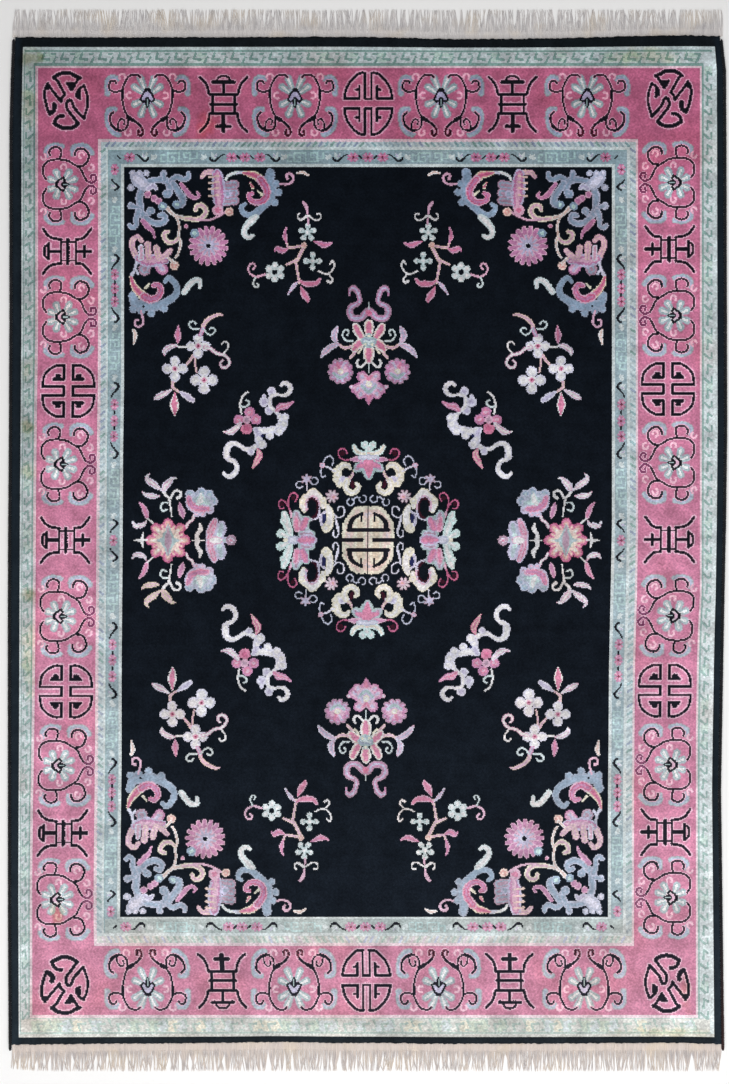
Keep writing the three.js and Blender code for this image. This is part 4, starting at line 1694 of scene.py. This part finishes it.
@dataclass(frozen=True)
class Foundation:
    """The woven foundation, with the backs of the knots on its underside."""

    thickness: float = 0.004
    coarse: int = 2
    spacing: int = 24
    wall_places: Point = (0.981, 0.988)

    def build(self, chart: Chart, x: np.ndarray, y: np.ndarray) -> Piece:
        """Builds the foundation as one closed mesh.

        Args:
            chart: the weaver's chart.
            x, y: places of the knot corners.

        Returns:
            The foundation.
        """
        parts = MeshParts()
        step = self.coarse
        rows = np.append(np.arange(0, ROWS, step), ROWS)
        columns = np.append(np.arange(0, COLUMNS, step), COLUMNS)
        knots = chart.knots[::step, ::step]
        low_x, low_y = x[np.ix_(rows, columns)], y[np.ix_(rows, columns)]
        fixed = columns % self.spacing == 0
        fixed[[0, -1]] = True
        face = KnotFace(knots, low_x, low_y, np.zeros(low_x.shape), fixed)
        corner = face.lay(parts, upward=False)
        size = np.array([len(columns) - 1, len(rows) - 1])
        for k, spots in enumerate(parts.places):
            parts.places[k] = 0.004 + 0.972 * spots / size
        ring = self.ring(corner)
        lift = np.vstack(parts.corners)[ring]
        lift[:, 2] = self.thickness
        first = parts.add_corners(lift)
        count = len(ring)
        back = CODE[Wool.JET]
        low, high = self.wall_places
        for k in range(count):
            n = (k + 1) % count
            v0, v1 = k / count, (k + 1) / count
            parts.add_face([int(ring[k]), int(ring[n]), first + n, first + k], back,
                           np.array([(low, v0), (low, v1), (high, v1), (high, v0)]))
        turn = np.linspace(0, 2 * math.pi, count, endpoint=False)
        parts.add_face([first + k for k in range(count)], back,
                       np.stack([0.994 + 0.004 * np.cos(turn), 0.5 + 0.4 * np.sin(turn)], 1))
        return parts.build("foundation")

    def ring(self, corner: np.ndarray) -> np.ndarray:
        """The mesh corners round the rim, counter-clockwise from above."""
        near, far = corner[-1], corner[0][::-1]
        right, left = corner[::-1, -1], corner[:, 0]
        ring = np.concatenate([near, right[1:], far[1:], left[1:-1]])
        return ring[ring >= 0]


@dataclass(frozen=True)
class SideCord:
    """One black side cord, overcast with wool yarn."""

    node: str
    pitch: float = 0.0042
    rings: int = 4
    around: int = 9
    radius: float = 0.0039
    groove: float = 0.16
    slack: float = 0.05
    taper: float = 0.004
    least: float = 0.25
    middle: float = 0.004
    squash: float = 0.98

    def build(self) -> Piece:
        """Builds the cord over the middle line of its CAD solid.

        Returns:
            The cord, in place of its CAD node.
        """
        spots = node_corners(self.node)
        levels = np.unique(np.round(spots[:, 1], 5))
        middles = [spots[np.abs(spots[:, 1] - level) < 1e-4][:, 0] for level in levels]
        line = np.array([(xs.min() + xs.max()) / 2 for xs in middles])
        start, stop = levels[0], levels[-1]
        count = int((stop - start) / self.pitch * self.rings)
        y = np.linspace(start, stop, count + 1)
        x = np.interp(y, levels, line)
        turn = np.linspace(0, 2 * math.pi, self.around, endpoint=False)
        wrap = 2 * math.pi * y[:, None] / self.pitch + turn[None, :]
        random = np.random.default_rng(len(self.node))
        rough = random.standard_normal(count // self.rings + 2)
        slack = 1 + self.slack * np.repeat(rough, self.rings)[: count + 1, None]
        reach = self.radius * slack.clip(0.9, 1.03) * (1 - self.groove * (0.5 + 0.5 * np.cos(wrap)))
        near_end = np.minimum(y - start, stop - y) / self.taper
        reach = reach * np.clip(near_end, self.least, 1)[:, None] ** 0.5
        parts = MeshParts()
        middle = np.full(y.shape, self.middle)
        parts.add_tube(rings_along(x, y, middle, reach, self.around, self.squash))
        piece = parts.build(f"overcast_{self.node}")
        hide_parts(self.node)
        return piece


@dataclass(frozen=True)
class Fringe:
    """The warp ends at one end of the rug: a woven band and loose plied strands.

    Fields:
        node: the CAD node that it stands for.
        outward: one for the far end, minus one for the near end.
        seed: the seed of its unevenness.
        band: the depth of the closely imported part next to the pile.
        tuck: how far out of the pile's edge a strand leaves it.
        weft: where the band's wefts lie, from the pile outwards.
    """

    node: str
    outward: float
    seed: int
    band: float = 0.020
    tuck: float = 0.0015
    weft: tuple[float, ...] = (0.0004, 0.002, 0.0045, 0.007, 0.0095, 0.0125, 0.0155)
    warps: int = 421
    strands: int = 640
    steps: int = 11
    around: int = 5
    thick: float = 0.0013
    clump: float = 0.016
    stray: float = 0.005

    @property
    def flip(self) -> int:
        """Minus one where faces have to be turned over."""
        return 1 if self.outward > 0 else -1

    def build(self, edge: np.ndarray) -> Piece:
        """Builds the fringe.

        Args:
            edge: the end of the pile, as x and y.

        Returns:
            The fringe, in place of its CAD node.
        """
        spots = node_corners(self.node)
        left, right = spots[:, 0].min(), spots[:, 0].max()
        parts = MeshParts()
        self.weave_band(parts, edge, left, right)
        tips = self.tip_line(spots, left, right)
        random = np.random.default_rng(self.seed)
        pitch = (right - left) / self.strands
        clumps = np.cumsum(random.uniform(0.6, 1.5, 400) * self.clump) + left - 0.01
        pulls = random.uniform(0.1, 0.9, 400)
        for k in range(self.strands):
            x = left + (k + 0.5) * pitch + random.normal(0, 0.2) * pitch
            near = int(np.abs(clumps - x).argmin())
            root = np.interp(x, *edge.T) + self.outward * self.tuck
            tip = np.interp(x, *tips.T) - self.outward * abs(random.normal(0, 0.0016))
            self.strand(parts, random, (x, root), tip, (clumps[near] - x) * pulls[near])
        piece = parts.build(f"{self.node}_strands")
        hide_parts(self.node)
        return piece

    def tip_line(self, spots: np.ndarray, left: float, right: float) -> np.ndarray:
        """The line where the longest strands end, read from the CAD solid.

        Args:
            spots: corners of the CAD solid.
            left, right: its ends.

        Returns:
            The line, as x and y.
        """
        stations = np.linspace(left, right, 34)
        reach = []
        for x in stations:
            close = spots[np.abs(spots[:, 0] - x) < 0.03]
            reach.append((close[:, 1] * self.outward).max() * self.outward)
        return np.stack([stations, reach], axis=1)

    def weave_band(self, parts: MeshParts, edge: np.ndarray, left: float, right: float) -> None:
        """Adds the woven band next to the pile, as one low closed slab.

        Args:
            parts: the mesh's parts.
            edge: the end of the pile, as x and y.
            left, right: the band's ends.
        """
        across = np.linspace(left + 0.001, right - 0.001, self.warps)
        down = np.array([*self.weft, self.band])
        x = np.repeat(across[:, None], len(down), 1)
        y = np.interp(x, *edge.T) + self.outward * down
        ridge = np.cos(np.arange(len(across)) * math.pi)[:, None]
        weft = np.cos(np.arange(len(down)) * math.pi)[None, :]
        z = 0.0021 + 0.0002 * ridge * weft + 0.0004 * (down < 0.003)
        z = z * np.where(down > self.band - 0.001, 0.5, 1)
        top = parts.add_corners(np.stack([x, y, z], axis=2).reshape(-1, 3))
        foot = parts.add_corners(np.stack([x, y, np.zeros(x.shape)], axis=2).reshape(-1, 3))
        grid = np.arange(x.size).reshape(x.shape)
        for near, far in zip(grid.tolist(), grid[1:].tolist()):
            for k in range(len(down) - 1):
                square = (near[k], far[k], far[k + 1], near[k + 1])
                parts.faces.append([top + n for n in square][:: self.flip])
        rim = [*grid[:, 0], *grid[-1, 1:], *grid[-2::-1, -1], *grid[0, -2:0:-1]]
        rim = [int(n) for n in rim]
        for a, b in zip(rim, rim[1:] + rim[:1]):
            parts.faces.append([top + a, foot + a, foot + b, top + b][:: self.flip])
        parts.faces.append([foot + n for n in rim][:: -self.flip])

    def strand(self, parts: MeshParts, random: np.random.Generator, root: Point, tip: float,
               pull: float) -> None:
        """Adds one strand as a closed tapering tube.

        Args:
            parts: the mesh's parts.
            random: the source of its unevenness.
            root: where it leaves the pile.
            tip: how far out it ends.
            pull: how far its clump draws it sideways.
        """
        share = np.linspace(0, 1, self.steps)
        loose = np.clip((share - 0.3) / 0.7, 0, 1)
        wave = np.sin(share * random.uniform(5, 9) + random.uniform(0, 6.3))
        x = root[0] + pull * loose**1.3 + random.normal(0, self.stray) * loose**1.5
        x = x + wave * random.uniform(0, 0.0016) * loose
        y = root[1] + (tip - root[1]) * share
        low = random.uniform(0.0012, 0.0026)
        z = low + 0.0009 * np.sin(share * random.uniform(3, 8) + random.uniform(0, 6.3)) * loose
        radius = self.thick * random.uniform(0.8, 1.15) * (1 - 0.45 * share**2)
        radius[-1] *= 0.45
        z = np.maximum(z, radius)
        parts.add_tube(rings_along(x, y, z, radius[:, None], self.around), self.flip)


class Recipe:
    """Builds one material out of nodes."""

    def __init__(self, name: str, roughness: float, sheen: float = 0.0) -> None:
        """Starts a material with one plain shader.

        Args:
            name: the material's name.
            roughness: the shader's roughness.
            sheen: the shader's sheen weight.
        """
        self.material = bpy.data.materials.new(name)
        self.material.use_nodes = True
        self.nodes = self.material.node_tree.nodes
        self.links = self.material.node_tree.links
        self.nodes.clear()
        self.shader = self.nodes.new("ShaderNodeBsdfPrincipled")
        self.shader.inputs["Roughness"].default_value = roughness
        self.shader.inputs["Specular IOR Level"].default_value = 0.03
        self.shader.inputs["Sheen Weight"].default_value = sheen
        self.shader.inputs["Sheen Roughness"].default_value = 0.6
        output = self.nodes.new("ShaderNodeOutputMaterial")
        self.links.new(self.shader.outputs[0], output.inputs["Surface"])
        self.position = self.nodes.new("ShaderNodeNewGeometry").outputs["Position"]

    def set(self, socket: Socket, value: object) -> None:
        """Gives a socket a value, or a link from another node's output."""
        if isinstance(value, Socket):
            self.links.new(value, socket)
        else:
            socket.default_value = value

    def make(self, kind: str, inputs: dict[str | int, object], output: str | int = 0,
             **options: object) -> Socket:
        """Adds a node.

        Args:
            kind: the kind of node, without its common prefix.
            inputs: values or links for its sockets.
            output: which output is wanted.
            options: settings of the node itself.

        Returns:
            The output.
        """
        node = self.nodes.new("ShaderNode" + kind)
        for key, value in options.items():
            setattr(node, key, value)
        for key, value in inputs.items():
            self.set(node.inputs[key], value)
        return node.outputs[output]

    def maths(self, operation: str, a: object, b: object = 0.0) -> Socket:
        """Adds a sum on two numbers."""
        return self.make("Math", {0: a, 1: b}, operation=operation)

    def times(self, a: object, b: object) -> Socket:
        """Multiplies two numbers."""
        return self.maths("MULTIPLY", a, b)

    def between(self, share: object, a: object, b: object) -> Socket:
        """A number between two others."""
        return self.make("Mix", {0: share, 2: a, 3: b})

    def place(self, axis: str) -> Socket:
        """The place on the piece along one axis."""
        return self.make("SeparateXYZ", {0: self.position}, axis)

    def noise(self, scale: float, detail: float = 2.0, at: object = None) -> Socket:
        """Adds a smooth noise from 0 to 1."""
        where = self.position if at is None else at
        return self.make("TexNoise", {"Vector": where, "Scale": scale, "Detail": detail}, "Fac")

    def stretch(self, x: float, y: float, z: float = 1.0) -> Socket:
        """The place on the piece, multiplied."""
        return self.make("VectorMath", {0: self.position, 1: (x, y, z)}, operation="MULTIPLY")

    def ramp(self, value: object, low: float, high: float, out_low: float,
             out_high: float) -> Socket:
        """Maps one range of numbers on to another, with its ends held."""
        return self.make("MapRange", {"Value": value, "From Min": low, "From Max": high,
                                      "To Min": out_low, "To Max": out_high})

    def tint(self, colour: object, shade: object) -> Socket:
        """Multiplies a colour by a number."""
        return self.make("VectorMath", {0: colour, "Scale": shade}, operation="SCALE")

    def blend(self, kind: str, share: object, a: object, b: object) -> Socket:
        """Mixes two colours."""
        node = self.nodes.new("ShaderNodeMix")
        node.data_type = "RGBA"
        node.blend_type = kind
        self.set(node.inputs[0], share)
        self.set(node.inputs[6], a)
        self.set(node.inputs[7], b)
        return node.outputs[2]

    def bump(self, height: object, distance: float, strength: float = 1.0,
             under: object = None) -> Socket:
        """Adds a bump, over another one if there is one."""
        inputs = {"Height": height, "Distance": distance, "Strength": strength}
        if under is not None:
            inputs["Normal"] = under
        return self.make("Bump", inputs)

    def finish(self, colour: object, normal: object = None) -> Material:
        """Links the colour and the bump to the shader.

        Args:
            colour: the colour.
            normal: the bumped surface.

        Returns:
            The material.
        """
        self.set(self.shader.inputs["Base Color"], colour)
        if normal is not None:
            self.set(self.shader.inputs["Normal"], normal)
        return self.material


@dataclass(frozen=True)
class Stain:
    """A soft stain on the pile.

    Fields:
        place: its middle on the floor.
        reach: how far it spreads across and along the rug.
        tint: what it does to the red, green and blue of the wool.
    """

    place: Point
    reach: Point
    tint: tuple[float, float, float]


OLIVE = (0.62, 0.60, 0.42)
STRAW = (1.0, 0.94, 0.76)
RUST = (1.0, 0.72, 0.62)


@dataclass(frozen=True)
class PileWool:
    """The clipped wool of the pile: each knot a little different, worn and stained, with painted light
    that brightens it towards the near end and on parts of the borders.
    """

    roughness: float = 0.95
    sheen: float = 0.008
    knot_shade: float = 0.20
    painted_light_gamma: float = 0.80
    painted_light_dark_gamma: float = 0.84
    knot_depth: float = 0.0009
    edge_dust: tuple[float, float, float] = (0.003, 0.006, 0.010)
    warm: Colour = (1.03, 0.88, 0.82, 1.0)
    soil: Colour = (0.56, 0.52, 0.41, 1.0)
    soiling: float = 0.06
    stains: tuple[Stain, ...] = (
        Stain((-0.797, 1.147), (0.030, 0.028), OLIVE),
        Stain((-0.803, 1.03), (0.020, 0.05), STRAW),
        Stain((-0.803, 0.405), (0.018, 0.03), STRAW),
        Stain((-0.803, 0.27), (0.018, 0.02), OLIVE),
        Stain((-0.803, 0.165), (0.018, 0.025), STRAW),
        Stain((-0.803, -0.13), (0.018, 0.02), OLIVE),
        Stain((-0.803, -0.29), (0.018, 0.09), STRAW),
        Stain((0.66, 1.147), (0.09, 0.02), STRAW),
        Stain((0.752, -1.07), (0.016, 0.05), STRAW),
        Stain((0.72, -1.166), (0.10, 0.014), STRAW),
        Stain((-0.773, 1.1446), (0.012, 0.011), OLIVE),
        Stain((-0.385, 0.983), (0.03, 0.03), RUST),
        Stain((-0.735, -0.887), (0.018, 0.028), (0.88, 0.76, 0.56)),
    )

    def material(self) -> Material:
        """Makes the material.

        Returns:
            The material.
        """
        mix = Recipe("knotted_wool", self.roughness, self.sheen)
        wool = mix.make("Attribute", {}, "Color", attribute_name="knot_colour")
        across = mix.place("X")
        along = mix.place("Y")
        light = mix.ramp(mix.make("SeparateColor", {"Color": wool}, "Red"), 0.02, 0.08, 0.0, 1.0)
        # Painted light: a gamma that lightens the wools more and more towards the near end, the light
        # wools more than the black ones.
        early = mix.ramp(along, 0.957, 0.80, 1.0, 0.90)
        late = mix.ramp(along, 0.80, -0.1, 1.0, self.painted_light_gamma)
        dark = mix.ramp(along, 0.9, -1.15, 1.0, self.painted_light_dark_gamma)
        gamma = mix.between(light, dark, mix.times(early, late))
        colour = mix.make("Gamma", {"Color": wool, "Gamma": gamma})
        warm = mix.times(light, mix.ramp(mix.noise(6.0, 2.0), 0.5, 0.72, 0.0, 0.6))
        colour = mix.blend("MULTIPLY", warm, colour, self.warm)
        soil = mix.times(light, mix.ramp(along, -0.2, -1.15, 0.0, self.soiling))
        colour = mix.blend("MIX", soil, colour, self.soil)
        colour = mix.tint(colour, self.shade(mix, across, along, light))
        dust = mix.ramp(mix.maths("ABSOLUTE", across), 0.815, 0.83, 0.0, 1.0)
        colour = mix.blend("ADD", dust, colour, (*self.edge_dust, 1.0))
        for stain in self.stains:
            colour = self.stained(mix, colour, stain)
        relief = mix.bump(mix.noise(420.0, 1.0), self.knot_depth, 0.55)
        relief = mix.bump(mix.noise(900.0, 2.0), 0.0004, 0.5, relief)
        return mix.finish(colour, relief)

    def shade(self, mix: Recipe, across: object, along: object,
              light: object) -> Socket:
        """How light each knot is against its wool, with painted light on the borders and the right side.

        Args:
            mix: the recipe.
            across, along: the place on the rug.
            light: one on light wools, nothing on black ones.

        Returns:
            The number to multiply the colour with.
        """
        cell = mix.make("VectorMath", {0: mix.position, 1: (KNOT, KNOT, 1.0)}, operation="SNAP")
        tone = mix.make("TexWhiteNoise", {"Vector": cell}, "Value", noise_dimensions="3D")
        shade = mix.ramp(tone, 0, 1, 1 - self.knot_shade, 1 + self.knot_shade)
        rows = mix.noise(1.0, 3.0, mix.stretch(0.6, 60.0, 0.0))
        for value, spread in ((rows, 0.07), (mix.noise(170.0, 1.0), 0.15),
                              (mix.noise(26.0, 3.0), 0.22), (mix.noise(5.0, 3.0), 0.10)):
            shade = mix.times(shade, mix.ramp(value, 0.3, 0.7, 1 - spread, 1 + spread))
        # Painted light: the left pink border is lighter below the middle of the rug, and the right side of
        # the rug is lighter.
        inside = mix.ramp(across, -0.784, -0.780, 0.0, 1.0)
        left = mix.times(inside, mix.ramp(across, -0.66, -0.62, 1.0, 0.0))
        left = mix.between(left, 1.0, mix.ramp(along, 0.45, 0.2, 0.98, 1.11))
        sides = mix.times(left, mix.ramp(across, 0.60, 0.70, 1.0, 1.10))
        away = mix.maths("ABSOLUTE", across)
        # Painted light: both pink borders are lighter over the far half of the rug, short of its far end.
        painted_light_rise = mix.times(mix.ramp(along, 0.93, 0.82, 0.0, 1.0), mix.ramp(along, 0.35, 0.1, 1.0, 0.0))
        painted_light_rise = mix.times(painted_light_rise, mix.ramp(away, 0.62, 0.65, 0.0, 0.14))
        painted_light_rise = mix.times(painted_light_rise, mix.ramp(away, 0.780, 0.784, 1.0, 0.0))
        sides = mix.maths("ADD", sides, painted_light_rise)
        # Painted light: the stripes outside the left pink border are darker towards the far end and
        # lighter towards the near end.
        outside = mix.ramp(across, -0.784, -0.780, 1.0, 0.0)
        guard = mix.between(outside, 1.0, mix.ramp(along, 0.5, -0.4, 0.84, 1.03))
        return mix.times(shade, mix.between(light, 1.0, mix.times(sides, guard)))

    def stained(self, mix: Recipe, colour: object, stain: Stain) -> Socket:
        """Adds one stain.

        Args:
            mix: the recipe.
            colour: the colour so far.
            stain: the stain.

        Returns:
            The colour with the stain.
        """
        away = mix.make("VectorMath", {0: mix.position, 1: (*stain.place, 0.0)},
                        operation="SUBTRACT")
        away = mix.make("VectorMath", {0: away, 1: (1 / stain.reach[0], 1 / stain.reach[1], 0.0)},
                        operation="MULTIPLY")
        far = mix.make("VectorMath", {0: away}, "Value", operation="LENGTH")
        cloud = mix.ramp(mix.noise(38.0, 3.0), 0.3, 0.7, -0.5, 0.5)
        share = mix.ramp(mix.maths("ADD", far, cloud), 0.3, 1.2, 0.9, 0.0)
        return mix.blend("MULTIPLY", share, colour, (*stain.tint, 1.0))


@dataclass(frozen=True)
class BackWool:
    """The flat backs of the knots on the underside."""

    roughness: float = 0.95

    def material(self) -> Material:
        """Makes the material.

        Returns:
            The material.
        """
        mix = Recipe("knot_backs", self.roughness, 0.05)
        wool = mix.make("Attribute", {}, "Color", attribute_name="knot_colour")
        cotton = mix.noise(1.0, 1.0, mix.stretch(420.0, 1300.0, 1.0))
        share = mix.ramp(cotton, 0.4, 0.7, 0.05, 0.45)
        colour = mix.blend("MIX", share, wool, (0.34, 0.31, 0.27, 1.0))
        return mix.finish(colour, mix.bump(cotton, 0.0006, 0.6))


@dataclass(frozen=True)
class CordWool:
    """The black wool yarn that the sides are overcast with."""

    colour: Colour = (0.0065, 0.0072, 0.0095, 1.0)
    worn: Colour = (0.024, 0.022, 0.025, 1.0)
    rusty: Colour = (0.035, 0.012, 0.011, 1.0)
    roughness: float = 0.9

    def material(self) -> Material:
        """Makes the material.

        Returns:
            The material.
        """
        mix = Recipe("overcast_wool", self.roughness, 0.15)
        place = mix.place("Y")
        side = mix.place("X")
        low = mix.times(mix.ramp(place, -0.9, -1.2, 0, 0.8), mix.ramp(side, 0, 0.1, 0, 1))
        wear = mix.ramp(mix.noise(40.0, 4.0), 0.45, 0.75, 0.0, 0.7)
        base = mix.blend("MIX", wear, self.colour, self.worn)
        colour = mix.blend("MIX", low, base, self.rusty)
        return mix.finish(colour, mix.bump(mix.noise(1600.0, 2.0), 0.0004, 0.6))


@dataclass(frozen=True)
class FringeCotton:
    """The undyed cotton of the warp ends, yellowed in places, with painted grey shade in streaks along the
    loose strands.
    """

    far: Colour = (0.72, 0.69, 0.68, 1.0)
    near: Colour = (0.68, 0.60, 0.55, 1.0)
    grey: Colour = (0.40, 0.38, 0.40, 1.0)
    yellow: Colour = (0.76, 0.64, 0.48, 1.0)
    roughness: float = 0.9

    def material(self) -> Material:
        """Makes the material.

        Returns:
            The material.
        """
        mix = Recipe("fringe_cotton", self.roughness, 0.1)
        place = mix.place("Y")
        # Painted shade: grey streaks that stand in for the shade between strands, stronger out on the
        # loose strands than in the woven band.
        loose = mix.ramp(mix.maths("ABSOLUTE", place), 1.204, 1.218, 0.15, 0.65)
        grey = mix.ramp(mix.noise(1.0, 3.0, mix.stretch(160.0, 30.0)), 0.4, 0.7, 0.0, 1.0)
        grey = mix.times(grey, loose)
        base = mix.blend("MIX", mix.ramp(place, -0.5, 0.5, 0.0, 1.0), self.near, self.far)
        base = mix.blend("MIX", grey, base, self.grey)
        stain = mix.ramp(mix.noise(14.0, 2.0), 0.5, 0.75, 0.0, 0.5)
        colour = mix.blend("MIX", stain, base, self.yellow)
        ply = mix.noise(1.0, 1.0, mix.stretch(900.0, 420.0))
        return mix.finish(colour, mix.bump(ply, 0.0005, 0.7))


@dataclass(frozen=True)
class StudioFloor:
    """A plain pale floor."""

    colour: Colour = (0.90, 0.895, 0.89, 1.0)
    shade: Colour = (0.87, 0.865, 0.86, 1.0)

    def material(self) -> Material:
        """Makes the material.

        Returns:
            The material.
        """
        mix = Recipe("pale_floor", 0.8)
        share = mix.noise(2.0, 3.0)
        return mix.finish(mix.blend("MIX", share, self.colour, self.shade))


@dataclass(frozen=True)
class Lamp:
    """One soft area light.

    Fields:
        name: its name.
        place: where it hangs.
        aim: the point that it looks at.
        size: its width and height.
        power: its power in watts.
    """

    name: str
    place: tuple[float, float, float]
    aim: tuple[float, float, float]
    size: Point
    power: float


@dataclass(frozen=True)
class Studio:
    """The floor, the lights and the camera over the rug."""

    picture: tuple[int, int] = (729, 1084)
    aim: Point = (-0.0072, -0.0039)
    height: float = 6.0
    sensor: float = 36.0
    floor_half: float = 9.0
    floor_level: float = -0.0004
    air: float = 0.16
    lamps: tuple[Lamp, ...] = (
        Lamp("over", (0.0, 0.0, 4.6), (0.0, 0.0, 0.0), (5.0, 6.0), 168.0),
        Lamp("near_window", (0.2, -3.6, 2.6), (0.0, -0.9, 0.0), (4.0, 2.0), 95.0),
        Lamp("side_window", (4.0, 0.2, 2.4), (0.0, 0.0, 0.0), (2.5, 3.0), 22.0),
    )

    def build(self) -> None:
        """Builds the floor, the lights and the camera."""
        scene = bpy.context.scene
        scene.view_settings.view_transform = "Standard"
        self.floor()
        for lamp in self.lamps:
            self.light(lamp)
        self.sky(scene)
        self.camera(scene)

    def floor(self) -> None:
        """Lays the floor."""
        mesh = bpy.data.meshes.new("studio_floor")
        half = self.floor_half
        corners = [(x * half, y * half, self.floor_level)
                   for x, y in ((-1, -1), (1, -1), (1, 1), (-1, 1))]
        mesh.from_pydata(corners, [], [(0, 1, 2, 3)])
        floor = bpy.data.objects.new("studio_floor", mesh)
        floor.data.materials.append(StudioFloor().material())
        bpy.context.collection.objects.link(floor)

    def light(self, lamp: Lamp) -> None:
        """Hangs one light."""
        data = bpy.data.lights.new(lamp.name, "AREA")
        data.shape = "RECTANGLE"
        data.size, data.size_y = lamp.size
        data.energy = lamp.power
        light = bpy.data.objects.new(lamp.name, data)
        light.location = lamp.place
        way = Vector(lamp.aim) - Vector(lamp.place)
        light.rotation_euler = way.to_track_quat("-Z", "Y").to_euler()
        bpy.context.collection.objects.link(light)

    def sky(self, scene: bpy.types.Scene) -> None:
        """Gives the room an even pale light."""
        world = bpy.data.worlds.new("studio_air")
        world.use_nodes = True
        back = world.node_tree.nodes["Background"]
        back.inputs["Color"].default_value = (1.0, 1.0, 1.0, 1.0)
        back.inputs["Strength"].default_value = self.air
        scene.world = world

    def camera(self, scene: bpy.types.Scene) -> None:
        """Sets the camera straight above the rug."""
        data = bpy.data.cameras.new("above")
        data.sensor_fit = "VERTICAL"
        data.sensor_height = self.sensor
        data.lens = self.sensor * self.height / (self.picture[1] * KNOT)
        data.clip_end = 100.0
        camera = bpy.data.objects.new("above", data)
        camera.location = (self.aim[0], self.aim[1], self.height + KnottedPile().thickness)
        bpy.context.collection.objects.link(camera)
        scene.camera = camera


@dataclass
class KnottedRug:
    """The whole rug."""

    pieces: list[Piece] = field(default_factory=list)

    def build(self) -> None:
        """Builds every piece and dresses it."""
        chart = draw_chart()
        edges = RugEdges.of_node("rug_body")
        x, y = GroundPlan(edges).lines()
        pile = KnottedPile().build(chart, x, y)
        foundation = Foundation().build(chart, x, y)
        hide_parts("rug_body")
        cords = [SideCord("side_cord_left").build(), SideCord("side_cord_right").build()]
        fringes = [Fringe("fringe_top", 1.0, 5).build(edges.far),
                   Fringe("fringe_bottom", -1.0, 9).build(edges.near)]
        self.dress(pile, PileWool().material())
        self.dress([foundation], BackWool().material())
        self.dress(cords, CordWool().material())
        self.dress(fringes, FringeCotton().material())

    def dress(self, pieces: Iterable[Piece], material: Material) -> None:
        """Gives pieces their finish and lets them ride on the rug.

        Args:
            pieces: the pieces.
            material: their material.
        """
        for piece in pieces:
            piece.data.materials.append(material)
            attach(piece, "root")
            self.pieces.append(piece)
            triangles = sum(len(face.vertices) - 2 for face in piece.data.polygons)
            log.info("%s: %d triangles", piece.name, triangles)


def main() -> None:
    """Builds the rug and its studio."""
    logging.basicConfig(level=logging.INFO, format="%(message)s")
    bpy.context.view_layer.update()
    KnottedRug().build()
    Studio().build()


if __name__ == "__main__":
    main()
